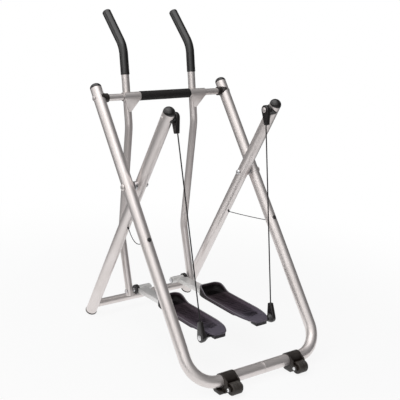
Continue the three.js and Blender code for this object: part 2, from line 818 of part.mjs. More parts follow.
function footBolt(side) {
  const tail = armX + armTubeRadius + seatGap
  const headSeat = pivotTubeInner - seatGap
  const shoulderFrom = discOuter + seatGap
  const shoulderTo = armX - armTubeRadius - seatGap
  const profile = [
    [0, headSeat - footBoltHeadHeight], [footBoltHeadRadius, headSeat - footBoltHeadHeight],
    [footBoltHeadRadius, headSeat], [footBoltRadius, headSeat], [footBoltRadius, shoulderFrom],
    [footBoltShoulderRadius, shoulderFrom], [footBoltShoulderRadius, shoulderTo],
    [footBoltRadius, shoulderTo],
    [footBoltRadius, tail], [footBoltHeadRadius, tail], [footBoltHeadRadius, tail + footNutHeight],
    [0, tail + footNutHeight],
  ]
  return turned(profile, at(0, footPivot.y, footPivot.z), outward(side), pinSides)
}

for (const [name, side] of sides) {
  const arm = new THREE.Group()
  arm.position.copy(crossbarPlace)
  arm.rotation.x = restLean[name]
  machine.add(arm)
  piece(arm, `swing_arm_${name}`, armWeldment(side), silverPaint)
  piece(arm, `arm_bush_${name}`, armBush(side), nylon)
  piece(arm, `arm_grip_${name}`, armGrip(side * armX), gripRubber)
  piece(arm, `foot_bolt_${name}`, footBolt(side), zincSteel)
}

// Footplates, built round the arm's lower pivot
function footPlace(name) {
  return crossbarPlace.clone().add(footPivot.clone().applyAxisAngle(axisX, restLean[name]))
}

function channelOutline(top, bottom, front, back) {
  return [
    [front, top], [-bracketRiseLength, top + bracketRise], [-back, top + bracketRise],
    [-back, bottom + bracketRise], [-bracketRiseLength, bottom + bracketRise], [front, bottom],
  ]
}

function bracket(side) {
  const centre = side * plateCentre
  const half = bracketHeight / 2
  const reach = bracketWidth / 2
  const outer = slab(channelOutline(half, -half, 0, bracketLength), centre - reach, centre + reach)
  const hollow = reach - bracketWall
  const front = -pivotTubeRadius
  const inner = slab(
    channelOutline(half - bracketWall, -half - cutOverrun, front, bracketLength + cutOverrun),
    centre - hollow, centre + hollow,
  )
  const tubeFrom = at(side * pivotTubeInner, 0, 0)
  const tubeTo = at(side * pivotTubeOuter, 0, 0)
  const space = at(side * (discOuter + cutOverrun), 0, 0)
  return outer.subtract(inner)
    .subtract(rod(tubeTo, space, around(discRadius, turnedSides, seatGap), turnedSides))
    .add(rod(tubeFrom, tubeTo, pivotTubeRadius, turnedSides))
    .subtract(rod(at(0, 0, 0), space, pivotTubeRadius - pivotTubeWall, turnedSides))
}

// Liner of the pivot tube, with the spacing disc at its outer end
function footBush(side) {
  const liner = insideOf(pivotTubeRadius - pivotTubeWall, turnedSides, seatGap / 2)
  const bore = around(footBoltRadius, turnedSides, runningGap)
  const discInner = discOuter - discThickness
  const profile = [
    [bore, pivotTubeInner], [liner, pivotTubeInner], [liner, discInner], [discRadius, discInner],
    [discRadius, discOuter], [bore, discOuter], [bore, pivotTubeInner],
  ]
  return turned(profile, at(0, 0, 0), outward(side), turnedSides)
}

// Plan outline of the footplate, drawn from its toe backwards, shrunk evenly by inset
function plateOutline(inset) {
  const half = plateHalfWidth - inset
  const toe = toeHalfWidth - inset / 2
  const tail = tailHalfWidth - inset / 2
  const front = -inset
  const back = inset - plateLength
  const waist = tailLength - plateLength
  const shape = new THREE.Shape()
  shape.moveTo(toe, front)
  shape.quadraticCurveTo(half, front, half, front - toeRound)
  shape.lineTo(half, waist)
  shape.bezierCurveTo(half, (waist + back) / 2, (tail + half) / 2, back, tail, back)
  shape.lineTo(-tail, back)
  shape.bezierCurveTo(-(tail + half) / 2, back, -half, (waist + back) / 2, -half, waist)
  shape.lineTo(-half, front - toeRound)
  shape.quadraticCurveTo(-half, front, -toe, front)
  return shape
}

function plateLayer(inset, bottom, top) {
  const settings = { depth: top - bottom, bevelEnabled: false, curveSegments: plateCurveSteps }
  const geometry = new THREE.ExtrudeGeometry(plateOutline(inset), settings)
  geometry.translate(0, -plateFront, bottom)
  return solid(geometry)
}

function plateSlab(outline, reach) {
  return slab(outline.map(([back, height]) => [-plateFront - back, height]), -reach, reach)
}

function plateSide(outline) {
  return plateSlab(outline, plateHalfWidth + cutOverrun)
}

function rimLine() {
  const line = [[-cutOverrun, toeTop], [toeTopLength, toeTop]]
  const steps = 6
  for (let i = 1; i <= steps; i += 1) {
    const share = i / steps
    const fall = (1 - Math.cos(Math.PI * share)) / 2
    line.push([toeTopLength + toeFallLength * share, toeTop + (rimTop - toeTop) * fall])
  }
  line.push([plateLength - tailBlockLength, rimTop])
  line.push([plateLength + cutOverrun, rimTop - tailFall])
  return line
}

function footplate(side) {
  const line = rimLine()
  const above = toeTop + cutOverrun
  const over = plateSide([...line, [plateLength + cutOverrun, above], [-cutOverrun, above]])
  const blockFrom = plateLength - tailBlockLength
  const blockEnd = plateLength + cutOverrun
  const block = plateSlab([
    [blockFrom, skinUnder], [blockFrom, tailBlockBottom], [blockEnd, tailBlockBottom], [blockEnd, skinUnder],
  ], tailBlockHalfWidth).intersect(plateLayer(0, tailBlockBottom - cutOverrun, toeTop))
  const pocketEnd = plateSide([
    [-cutOverrun, above], [blockFrom, above],
    [blockFrom, plateFloor - cutOverrun], [-cutOverrun, plateFloor - cutOverrun],
  ])
  const pocket = plateLayer(rimWidth, plateFloor, above + cutOverrun).intersect(pocketEnd)
  const under = plateLayer(skirtWall, skirtBottom - cutOverrun, skinUnder)
  const shallowTail = plateSide([
    [skirtStepBack, skirtBottom - cutOverrun], [blockEnd, skirtBottom - cutOverrun],
    [blockEnd, skirtTailBottom], [skirtStepBack + skirtStepLength, skirtTailBottom],
  ])
  const notchHalf = bracketWidth / 2 + seatGap
  const notch = slab([
    [-plateFront + cutOverrun, skirtBottom - cutOverrun], [-plateFront + cutOverrun, skinUnder],
    [-plateFront - toeRound, skinUnder], [-plateFront - toeRound, skirtBottom - cutOverrun],
  ], -notchHalf, notchHalf)
  const studReach = plateHalfWidth + cutOverrun
  const studPlace = (x) => at(x, -rearStudBack, rearStudRise)
  const studHole = around(rearStudRadius, pinSides, seatGap)
  return plateLayer(0, skirtBottom, toeTop + cutOverrun / 2)
    .subtract(over)
    .subtract(pocket)
    .subtract(under)
    .subtract(shallowTail)
    .subtract(notch)
    .add(block)
    .subtract(rod(studPlace(-studReach), studPlace(studReach), studHole, pinSides))
    .translate([side * plateCentre, 0, 0])
}

// Pin across the footplate's tail; its outer end widens into the stub that meets the cable
function rearStud(side) {
  const studPlace = at(0, -rearStudBack, rearStudRise)
  const inner = plateCentre - tailBlockHalfWidth
  const shank = plateCentre + tailBlockHalfWidth + seatGap
  const neck = plateCentre + tailNeck() + seatGap
  const profile = [
    [0, inner], [rearStudRadius, inner], [rearStudRadius, shank], [stubShankRadius, shank],
    [stubShankRadius, neck], [stubNeckRadius, neck], [stubFlareRadius, stubOuter], [0, stubOuter],
  ]
  return turned(profile, studPlace, outward(side), turnedSides)
}

// Half width of the footplate's outline where the widest part of the stub's neck passes it
function tailNeck() {
  const outline = plateOutline(0).getPoints(plateCurveSteps * plateCurveSteps)
  const back = rearStudBack - plateFront - stubNeckRadius
  return outline.reduce((widest, { x, y }) => (-y >= back && x > widest ? x : widest), 0)
}

for (const [name, side] of sides) {
  const foot = new THREE.Group()
  foot.position.copy(footPlace(name))
  foot.rotation.x = plateShare * restLean[name]
  machine.add(foot)
  piece(foot, `footplate_${name}`, footplate(side), plateMoulding)
  piece(foot, `footplate_bracket_${name}`, bracket(side), silverPaint)
  piece(foot, `foot_bush_${name}`, footBush(side), nylon)
  piece(foot, `cable_stub_${name}`, rearStud(side), blackPlastic)
}

// Suspension cables, from the front legs' tops to the footplates' tails
const topEye = at(0, -cableStudRise * Math.sin(frontTilt), pivotHeight + cableStudRise * Math.cos(frontTilt))
const lowEye = crossbarPlace.clone().add(footPivot).add(at(0, -rearStudBack, rearStudRise))
const cableLean = Math.atan2(lowEye.y - topEye.y, topEye.z - lowEye.z)

// A moulded eye that narrows into a sleeve round the cable, which may enter it beside its middle
function boot(x, cableX) {
  const outline = []
  const eyeSteps = 12
  const taper = Math.asin((bootEyeRadius - bootEndHalfWidth) / bootLength)
  for (let i = 0; i <= eyeSteps; i += 1) {
    const angle = -taper + (Math.PI + 2 * taper) * (i / eyeSteps)
    outline.push([bootEyeRadius * Math.cos(angle), bootEyeRadius * Math.sin(angle)])
  }
  outline.push([-bootEndHalfWidth, -bootLength], [bootEndHalfWidth, -bootLength])
  const half = bootThickness / 2
  const hole = around(cableStudRadius, pinSides, runningGap)
  const socket = around(cableRadius, ropeSides, bootSocketGap)
  const socketFrom = at(cableX, 0, -bootLength - cutOverrun)
  return slab(outline, x - half, x + half)
    .subtract(rod(at(x - half - cutOverrun, 0, 0), at(x + half + cutOverrun, 0, 0), hole, pinSides))
    .subtract(rod(socketFrom, at(cableX, 0, -bootLength + bootSocketDepth), socket, ropeSides))
}

function lowerBolt(side) {
  const seat = cableBottomX + bootThickness / 2 + seatGap
  const length = bootThickness
  const profile = headProfile(cableStudRadius, length, cableStudHeadRadius, cableStudHeadHeight)
  return turned(profile, at(side * seat, 0, 0), outward(side), pinSides)
}

for (const [name, side] of sides) {
  const upper = new THREE.Group()
  upper.position.copy(topEye)
  machine.add(upper)
  const leaning = new THREE.Group()
  leaning.rotation.x = cableLean + cableShare * restLean[name]
  upper.add(leaning)
  piece(leaning, `cable_upper_boot_${name}`, boot(side * eyeTopX, side * cableTopX), blackPlastic)
  const reach = topEye.distanceTo(lowEye)
  const end = bootLength - bootSocketDepth + seatGap
  const ropeTop = at(side * cableTopX, 0, -end)
  const ropeBottom = at(side * cableBottomX, 0, end - reach)
  const rope = rod(ropeTop, ropeBottom, cableRadius, ropeSides)
  piece(leaning, `cable_${name}`, rope, steelRope)
  const lower = new THREE.Group()
  lower.position.z = -reach
  leaning.add(lower)
  const turnedOver = new THREE.Group()
  turnedOver.rotation.x = Math.PI
  lower.add(turnedOver)
  piece(turnedOver, `cable_lower_boot_${name}`, boot(side * cableBottomX, side * cableBottomX), blackPlastic)
  piece(lower, `cable_bolt_${name}`, lowerBolt(side), zincSteel)
}

// Fold stays, from the front frame's anchors to the tips of the rear frame's stay bolts
rearFrame.updateMatrixWorld(true)
frontFrame.updateMatrixWorld(true)

function stay(side, sag) {
  const onFront = (y) => frontFrame.localToWorld(at(side * frontHalfWidth, y, -stayAnchorDrop))
  const onRear = (y, z) => rearFrame.localToWorld(at(side * rearHalfWidth, y, z - stayBoltDrop))
  const plugTip = -frameTubeRadius - stayPlugTip
  const plug = rod(onFront(-stayRopeRadius), onFront(plugTip), stayPlugRadius, pinSides)
  const eyeSeat = frameTubeRadius + seatGap
  const eyeBore = around(stayBoltRadius, pinSides, runningGap)
  const eyeFrom = onRear(eyeSeat, 0)
  const eyeTo = onRear(eyeSeat + stayEyeThickness, 0)
  const eye = ring(eyeFrom, eyeTo, stayEyeRadius, eyeBore, pinSides)
  const from = onFront(plugTip + stayRopeRadius)
  const to = onRear(eyeSeat + stayEyeThickness / 2, (eyeBore + stayEyeRadius) / 2)
  const low = from.clone().lerp(to, 0.5)
  low.z -= 2 * sag
  const line = new THREE.QuadraticBezierCurve3(from, low, to)
  const shape = new THREE.Shape(circle(stayRopeRadius, ropeSides))
  const rope = new THREE.ExtrudeGeometry(shape, { extrudePath: line, steps: staySteps, bevelEnabled: false })
  return solid(rope).add(plug).add(eye)
}
piece(machine, 'stay_cable_left', stay(-1, staySagLeft), steelRope)
piece(machine, 'stay_cable_right', stay(1, staySagRight), steelRope)

// The origin lies under the middle of the machine
machine.updateMatrixWorld(true)
const bounds = new THREE.Box3().setFromObject(machine, true)
machine.position.y = -(bounds.min.y + bounds.max.y) / 2
machine.updateMatrixWorld(true)

export default machine
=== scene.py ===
import json
import math

import bmesh
import bpy
from mathutils import Matrix, Quaternion, Vector


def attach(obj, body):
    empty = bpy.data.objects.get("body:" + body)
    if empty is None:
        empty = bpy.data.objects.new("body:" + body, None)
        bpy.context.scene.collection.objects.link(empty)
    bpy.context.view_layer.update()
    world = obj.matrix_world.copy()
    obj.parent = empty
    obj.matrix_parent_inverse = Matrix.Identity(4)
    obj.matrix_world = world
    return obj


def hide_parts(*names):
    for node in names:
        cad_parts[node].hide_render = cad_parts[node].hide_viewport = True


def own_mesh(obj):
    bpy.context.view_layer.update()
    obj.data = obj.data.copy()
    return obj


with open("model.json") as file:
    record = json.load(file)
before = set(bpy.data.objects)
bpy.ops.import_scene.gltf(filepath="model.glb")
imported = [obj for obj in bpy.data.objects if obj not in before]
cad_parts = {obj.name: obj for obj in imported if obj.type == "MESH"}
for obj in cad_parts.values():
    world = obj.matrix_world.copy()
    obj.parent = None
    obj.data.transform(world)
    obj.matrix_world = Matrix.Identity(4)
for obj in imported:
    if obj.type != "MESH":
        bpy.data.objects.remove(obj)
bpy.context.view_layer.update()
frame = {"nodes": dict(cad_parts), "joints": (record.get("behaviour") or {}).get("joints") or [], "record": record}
record = frame["record"]
joints = {joint["name"]: joint for joint in frame["joints"]}
slot_of = {part["node"]: part["material_slot"] for part in record["subparts"]}
body_of = {node: body for body, nodes in record["behaviour"]["bodies"].items() for node in nodes}

# Sizes in millimetres and angles in radians, the same as the solids have; metres is one millimetre in metres
metres = 0.001
rear_tilt = math.radians(37.7)
front_tilt = math.radians(27.6)
pivot_height = 641
rear_half_width = 300
front_half_width = 246.5
frame_tube = 22.25
rear_upper = 405.5
floor_tube_height = 39
floor_bend = 106
front_upper = 337.6
foot_cap = 23.6
foot_cap_depth = 6
gap = 0.3
rear_lower = (pivot_height - floor_tube_height) / math.cos(rear_tilt)
front_lower = (pivot_height - foot_cap * math.sin(front_tilt)) / math.cos(front_tilt) - foot_cap_depth - gap
cross_tube = 16
cross_tube_drop = front_lower - 35.7
seam_x = 8
cap_spigot = 20
cap_rim = 2.5
rear_cap_height = 19
leg_cap_height = 22
crossbar_rise = 364
crossbar = 13
crossbar_nut = 9
crossbar_nut_height = 3.6
foam_half = 120
saddle_reach = 37
saddle_radius = 17.3
saddle_wall = 2.3
lip_reach = 23.7
crossbar_end = rear_half_width - saddle_reach
pivot_head = 12
pivot_head_height = 7
pivot_shank = 6
pivot_nut = 10.5
pivot_nut_height = 10
pivot_washer = 17
pivot_washer_length = 8.45
stay_bolt_drop = 217
stay_bolt = 3.5
stay_bolt_head = 8
stay_bolt_head_height = 4
stay_anchor_drop = 199
stay_rope = 1.5
stay_tip = 6
clamp_centre = 157
clamp_width = 60
clamp_toe = 20
clamp_inside = 22.6
clamp_outside = 25.5
wheel_back = 48
wheel_radius = 23
wheel_half = 22
axle_boss = 11.5
axle_head = 6.5
axle_rise = wheel_radius + 1 - floor_tube_height
arm_x = 158.5
arm_tube = 15
sleeve = 16.8
sleeve_half = 38
sleeve_middle = 158.5
weld_depth = 1.2
handle_rise = 192
handle_reach = 172
bow_drop = 116
bow_length = 456
shin_length = 227
arm_end_past = 20
arm_bends = (95, 170, 130)
grip_start = 85
grip_radius = 17.3
gusset_drop = 58
gusset_tip = 6
gusset_inset = 2
gusset_thickness = 3
arm_lean = math.radians(11)
handle_lean = math.radians(47)
bow_lean = math.radians(-3.5)
shin_lean = math.radians(17.7)
arm_offset = sleeve + arm_tube - weld_depth
foot_bolt = 5
foot_bolt_head = 9
disc_inner = 118.5
disc_outer = 132
disc_radius = 19.5
pivot_tube = 14
pivot_tube_inner = 60
plate_centre = 106
plate_front = 187
plate_length = 344
plate_half = 57
plate_tail = 105
toe_half = 26
tail_half = 22
toe_round = 58
toe_flat = 14
toe_fall = 62
rim_top = 22.0
floor_top = 18.0
under_top = 13.8
toe_top = floor_top + 28
skirt_low = 8.0
skirt_step = 4
skirt_step_back = 238
skirt_step_length = 14
tail_fall = 5
plate_cuts = (25, 40, 50, 60, 72, 90, 120, 160, 210, 260)
block_length = 34
block_half = 25
block_drop = 22
pocket_end = plate_length - block_length
bracket_half_width = 22
bracket_half = 9
bracket_wall = 2.5
bracket_rise = 4.5
bracket_rise_length = 130
bracket_end = plate_front + pocket_end - 1
stud_back = plate_front + plate_length - 23
stud_rise = 4.5
stud_pin = 4.5
stub_shank = 7
stub_neck_radius = 11
stub_flare = 17.3
eye_top_x = 210.5
cable_top_x = 207
cable_low_x = 174.5
cable_rope = 2.4
eye_radius = 18.5
eye_half = 8
boot_length = 58
boot_end = 8.5
boot_socket = 14
pin_radius = 5
pin_head = 10
pin_head_height = 4
pin_rise = front_upper - 21.6
rest_lean = {"left": math.radians(-0.8), "right": math.radians(0.1)}
plate_share = 0.278
cable_share = 1.019
sides = (("left", -1), ("right", 1))
UPRIGHT = Vector((0, 0, 1))
ACROSS = Vector((1, 0, 0))

# Places


def pivot(joint):
    return Vector(joints[joint]["pos_m"])


def placed(point, angle=0.0):
    """The place of forms drawn in millimetres round a point given in metres."""
    return Matrix.Translation(point) @ Matrix.Rotation(angle, 4, "X") @ Matrix.Scale(metres, 4)


crossing = pivot("fold")
rear = placed(crossing, -rear_tilt)
front = placed(crossing, front_tilt)
down_rear = Vector((0, -math.sin(rear_tilt), -math.cos(rear_tilt)))
floor_line = placed(crossing + down_rear * rear_lower * metres)


def slope(lean):
    return Vector((0, math.sin(lean), math.cos(lean)))


arm_beside = Vector((0, math.cos(arm_lean), -math.sin(arm_lean))) * arm_offset
handle_bend = arm_beside + slope(arm_lean) * handle_rise
handle_end = handle_bend + slope(handle_lean) * handle_reach
bow_bend = arm_beside - slope(arm_lean) * bow_drop
shin_bend = bow_bend - slope(bow_lean) * bow_length
foot_pivot = shin_bend - slope(shin_lean) * shin_length
arm_end = foot_pivot - slope(shin_lean) * arm_end_past
bar = pivot("swing_left")
top_eye = pivot("cable_swing_left")
low_eye = bar + (foot_pivot + Vector((0, -stud_back, stud_rise))) * metres
cable_lean = math.atan2(low_eye.y - top_eye.y, top_eye.z - low_eye.z)
cable_reach = (low_eye - top_eye).length / metres
arm_place = {name: placed(bar, lean) for name, lean in rest_lean.items()}
foot_place = {
    name: placed(pivot(f"footplate_tilt_{name}"), plate_share * lean) for name, lean in rest_lean.items()
}
cable_place = {name: placed(top_eye, cable_lean + cable_share * lean) for name, lean in rest_lean.items()}

# Camera


def set_camera():
    """The photograph's view: place in metres, angles and focal length fitted to the machine's tubes."""
    photo_width, focal_length, sensor = 400, 855.28, 36
    yaw, pitch, roll = math.radians(38.06), math.radians(16.33), math.radians(3.66)
    look = Vector((math.sin(yaw) * math.cos(pitch), math.cos(yaw) * math.cos(pitch), -math.sin(pitch)))
    level = Vector((math.cos(yaw), -math.sin(yaw), 0))
    over = level.cross(look)
    right = level * math.cos(roll) + over * math.sin(roll)
    up = over * math.cos(roll) - level * math.sin(roll)
    data = bpy.data.cameras.new("camera")
    camera = bpy.data.objects.new("camera", data)
    bpy.context.scene.collection.objects.link(camera)
    turn = Matrix((right, up, -look)).transposed()
    place = Vector((-1.9457, -2.5317 + crossing.y, 1.4895))
    camera.matrix_world = Matrix.Translation(place) @ turn.to_4x4()
    data.sensor_width = sensor
    data.sensor_fit = "HORIZONTAL"
    data.lens = sensor * focal_length / photo_width
    bpy.context.scene.camera = camera
    bpy.context.scene.view_settings.view_transform = "Standard"


set_camera()

# Shader nodes and the groups that the finishes share


def wire(tree, start, end):
    tree.links.new(start, end)


def node(tree, kind, **values):
    """A shader node; values set its properties or, where they name an input, that input."""
    made = tree.nodes.new(kind)
    for key, value in values.items():
        if hasattr(made, key):
            setattr(made, key, value)
        else:
            made.inputs[key.replace("_", " ")].default_value = value
    return made


def group_of(name, outputs, **inputs):
    """A node group that takes a Vector and the inputs, each a colour or a number with its first value."""
    tree = bpy.data.node_groups.new(name, "ShaderNodeTree")
    tree.interface.new_socket(name="Vector", in_out="INPUT", socket_type="NodeSocketVector")
    for key, value in inputs.items():
        kind = "NodeSocketColor" if isinstance(value, tuple) else "NodeSocketFloat"
        socket = tree.interface.new_socket(name=key.replace("_", " "), in_out="INPUT", socket_type=kind)
        socket.default_value = value
    for label in outputs:
        kind = "NodeSocketColor" if label == "Color" else "NodeSocketFloat"
        tree.interface.new_socket(name=label, in_out="OUTPUT", socket_type=kind)
    return tree, tree.nodes.new("NodeGroupInput").outputs, tree.nodes.new("NodeGroupOutput").inputs


def math_of(tree, operation, first, second):
    made = tree.nodes.new("ShaderNodeMath")
    made.operation = operation
    for socket, value in zip(made.inputs, (first, second)):
        if isinstance(value, (int, float)):
            socket.default_value = value
        else:
            wire(tree, value, socket)
    return made.outputs[0]


def spread(tree, value, low, high, to_low=0.0, to_high=1.0):
    made = node(tree, "ShaderNodeMapRange", interpolation_type="SMOOTHSTEP")
    for key, amount in zip(("From Min", "From Max", "To Min", "To Max"), (low, high, to_low, to_high)):
        made.inputs[key].default_value = amount
    wire(tree, value, made.inputs["Value"])
    return made.outputs["Result"]


def blended(tree, share, first, second, kind="MIX"):
    made = node(tree, "ShaderNodeMix", data_type="RGBA", blend_type=kind)
    for socket, value in ((made.inputs[0], share), (made.inputs[6], first), (made.inputs[7], second)):
        if isinstance(value, (int, float, tuple)):
            socket.default_value = value
        else:
            wire(tree, value, socket)
    return made.outputs[2]


def noise_of(tree, where, scale, detail=3.0, roughness=0.55, stretch=None):
    if stretch:
        turned = node(tree, "ShaderNodeMapping")
        turned.inputs["Scale"].default_value = stretch
        wire(tree, where, turned.inputs["Vector"])
        where = turned.outputs[0]
    made = node(tree, "ShaderNodeTexNoise", Detail=detail, Roughness=roughness)
    if isinstance(scale, (int, float)):
        made.inputs["Scale"].default_value = scale
    else:
        wire(tree, scale, made.inputs["Scale"])
    wire(tree, where, made.inputs["Vector"])
    return made.outputs["Fac"]


def cloud_group():
    """Slow change of tone over a piece, and a little of its gloss with it."""
    tree, given, out = group_of(
        "tone_drift", ("Color", "Roughness"), Base=(0.5, 0.5, 0.5, 1), Deep=(0.4, 0.4, 0.4, 1), Scale=9.0,
        Gloss_Low=0.3, Gloss_High=0.4,
    )
    slow = noise_of(tree, given["Vector"], given["Scale"], 4.0)
    share = spread(tree, slow, 0.32, 0.68)
    wire(tree, blended(tree, share, given["Base"], given["Deep"]), out["Color"])
    rise = math_of(tree, "SUBTRACT", given["Gloss High"], given["Gloss Low"])
    lift = math_of(tree, "MULTIPLY", rise, share)
    wire(tree, math_of(tree, "ADD", given["Gloss Low"], lift), out["Roughness"])
    return tree


def speck_group():
    """Fine bright or dark specks, as in metallic paint or worn rubber."""
    tree, given, out = group_of(
        "fine_specks", ("Color",), Color=(0.5, 0.5, 0.5, 1), Speck=(1, 1, 1, 1), Scale=2500.0, Share=0.3,
    )
    cells = node(tree, "ShaderNodeTexVoronoi", feature="F1")
    wire(tree, given["Scale"], cells.inputs["Scale"])
    wire(tree, given["Vector"], cells.inputs["Vector"])
    dot = node(tree, "ShaderNodeSeparateColor")
    wire(tree, cells.outputs["Color"], dot.inputs[0])
    mask = math_of(tree, "MULTIPLY", spread(tree, dot.outputs[0], 0.55, 0.95), given["Share"])
    wire(tree, blended(tree, mask, given["Color"], given["Speck"]), out["Color"])
    return tree


def grain_group():
    """Height of a moulded or sprayed skin: a fine grain over a soft swell."""
    tree, given, out = group_of(
        "skin_grain", ("Height",), Grain_Scale=900.0, Swell_Scale=60.0, Swell_Share=0.5,
    )
    fine = noise_of(tree, given["Vector"], given["Grain Scale"], 2.0)
    swell = noise_of(tree, given["Vector"], given["Swell Scale"], 2.0)
    lifted = math_of(tree, "MULTIPLY", swell, given["Swell Share"])
    wire(tree, math_of(tree, "ADD", fine, lifted), out["Height"])
    return tree


def dust_group():
    """A thin film of dust on what faces up, broken into patches."""
    tree, given, out = group_of(
        "dust_film", ("Color",), Color=(0.1, 0.1, 0.1, 1), Dust=(0.42, 0.4, 0.38, 1), Share=0.08,
    )
    normal = node(tree, "ShaderNodeSeparateXYZ")
    wire(tree, node(tree, "ShaderNodeNewGeometry").outputs["Normal"], normal.inputs[0])
    patch = spread(tree, noise_of(tree, given["Vector"], 38.0, 5.0), 0.35, 0.75)
    upward = spread(tree, normal.outputs["Z"], 0.1, 1.0)
    share = math_of(tree, "MULTIPLY", math_of(tree, "MULTIPLY", patch, upward), given["Share"])
    wire(tree, blended(tree, share, given["Color"], given["Dust"]), out["Color"])
    return tree


tone_drift = cloud_group()
fine_specks = speck_group()
skin_grain = grain_group()
dust_film = dust_group()


def place_group(tree, group, **values):
    made = tree.nodes.new("ShaderNodeGroup")
    made.node_tree = group
    for key, value in values.items():
        socket = made.inputs[key.replace("_", " ")]
        if isinstance(value, (int, float, tuple)):
            socket.default_value = value
        else:
            wire(tree, value, socket)
    return made.outputs


def drifting(tree, where, base, deep, scale, gloss):
    """Colour and roughness that drift between two tones; gloss is the least and greatest roughness."""
    low, high = gloss
    return place_group(
        tree, tone_drift, Vector=where, Base=base, Deep=deep, Scale=scale, Gloss_Low=low, Gloss_High=high,
    )


def finish(name, **constants):
    """A new material; returns it with its tree, its Principled shader and the Object coordinates."""
    material = bpy.data.materials.new(name)
    material.use_nodes = True
    tree = material.node_tree
    shader = tree.nodes["Principled BSDF"]
    for key, value in constants.items():
        shader.inputs[key.replace("_", " ")].default_value = value
    return material, tree, shader, tree.nodes.new("ShaderNodeTexCoord").outputs["Object"]


def complete(tree, shader, color, tone, height, strength, distance):
    """Gives a shader its colour, the roughness of its tone and a skin that stands out by a height."""
    wire(tree, color, shader.inputs["Base Color"])
    wire(tree, tone["Roughness"], shader.inputs["Roughness"])
    bump = node(tree, "ShaderNodeBump", Strength=strength, Distance=distance)
    wire(tree, height, bump.inputs["Height"])
    wire(tree, bump.outputs["Normal"], shader.inputs["Normal"])


def paint_finish(name, base, deep, speck, metal=0.72):
    """Satin metallic paint with bright flakes and a faint orange peel."""
    material, tree, shader, where = finish(name, Metallic=metal, Coat_Weight=0.1, Coat_Roughness=0.2)
    tone = drifting(tree, where, base, deep, 7.0, (0.3, 0.37))
    specks = place_group(
        tree, fine_specks, Vector=where, Color=tone["Color"], Speck=speck, Scale=2600.0, Share=0.32,
    )
    dusty = place_group(tree, dust_film, Vector=where, Color=specks["Color"], Share=0.05)
    skin = place_group(
        tree, skin_grain, Vector=where, Grain_Scale=1500.0, Swell_Scale=240.0, Swell_Share=0.8,
    )
    complete(tree, shader, dusty["Color"], tone, skin["Height"], 0.12, 0.0002)
    return material


def moulded_finish(name, base, deep, gloss, grain=1100.0, strength=0.35, dust=0.06, coat=0.0):
    """Moulded plastic or rubber; gloss is its least and greatest roughness, and grain its skin's scale."""
    material, tree, shader, where = finish(name, Metallic=0.0, Coat_Weight=coat, Coat_Roughness=0.2)
    tone = drifting(tree, where, base, deep, 24.0, gloss)
    lighter = tuple(min(1.0, part * 1.8 + 0.01) for part in base[:3]) + (1,)
    specks = place_group(
        tree, fine_specks, Vector=where, Color=tone["Color"], Speck=lighter, Scale=1800.0, Share=0.25,
    )
    dusty = place_group(tree, dust_film, Vector=where, Color=specks["Color"], Share=dust)
    skin = place_group(tree, skin_grain, Vector=where, Grain_Scale=grain, Swell_Scale=70.0, Swell_Share=0.4)
    complete(tree, shader, dusty["Color"], tone, skin["Height"], strength, 0.0003)
    return material


def steel_finish(name, base, deep, gloss, stretch):
    """Bright plated steel with fine lines drawn out along one axis."""
    material, tree, shader, where = finish(name, Metallic=1.0)
    tone = drifting(tree, where, base, deep, 60.0, gloss)
    lines = noise_of(tree, where, 500.0, 2.0, 0.6, stretch)
    lined = blended(tree, 0.18, tone["Color"], spread_tone(tree, lines), "MULTIPLY")
    complete(tree, shader, lined, tone, lines, 0.15, 0.0001)
    return material


def spread_tone(tree, value):
    ramp = node(tree, "ShaderNodeValToRGB")
    ramp.color_ramp.elements[0].position = 0.35
    ramp.color_ramp.elements[0].color = (0.45, 0.44, 0.43, 1)
    ramp.color_ramp.elements[1].position = 0.65
    wire(tree, value, ramp.inputs[0])
    return ramp.outputs[0]


def foam_finish():
    """Black foam with open pores."""
    material, tree, shader, where = finish("foam_finish", Metallic=0.0)
    tone = drifting(tree, where, (0.005, 0.004, 0.0042, 1), (0.008, 0.0065, 0.0068, 1), 30.0, (0.62, 0.78))
    cells = node(tree, "ShaderNodeTexVoronoi", feature="F1", Scale=700.0)
    wire(tree, where, cells.inputs["Vector"])
    pore = spread(tree, cells.outputs["Distance"], 0.1, 0.7)
    dark = blended(tree, 0.4, tone["Color"], spread_tone(tree, pore), "MULTIPLY")
    complete(tree, shader, dark, tone, pore, 0.5, 0.0004)
    return material


def rope_finish():
    """Dark wire rope, its strands drawn as slanting bands."""
    material, tree, shader, where = finish("rope_finish", Metallic=0.2, Specular_IOR_Level=0.3)
    tone = drifting(tree, where, (0.022, 0.02, 0.022, 1), (0.014, 0.013, 0.014, 1), 30.0, (0.36, 0.46))
    twist = node(
        tree, "ShaderNodeTexWave", wave_type="BANDS", bands_direction="DIAGONAL",
        Scale=520.0, Distortion=0.4,
    )
    wire(tree, where, twist.inputs["Vector"])
    stranded = blended(tree, 0.55, tone["Color"], spread_tone(tree, twist.outputs["Fac"]), "MULTIPLY")
    complete(tree, shader, stranded, tone, twist.outputs["Fac"], 0.6, 0.0004)
    return material


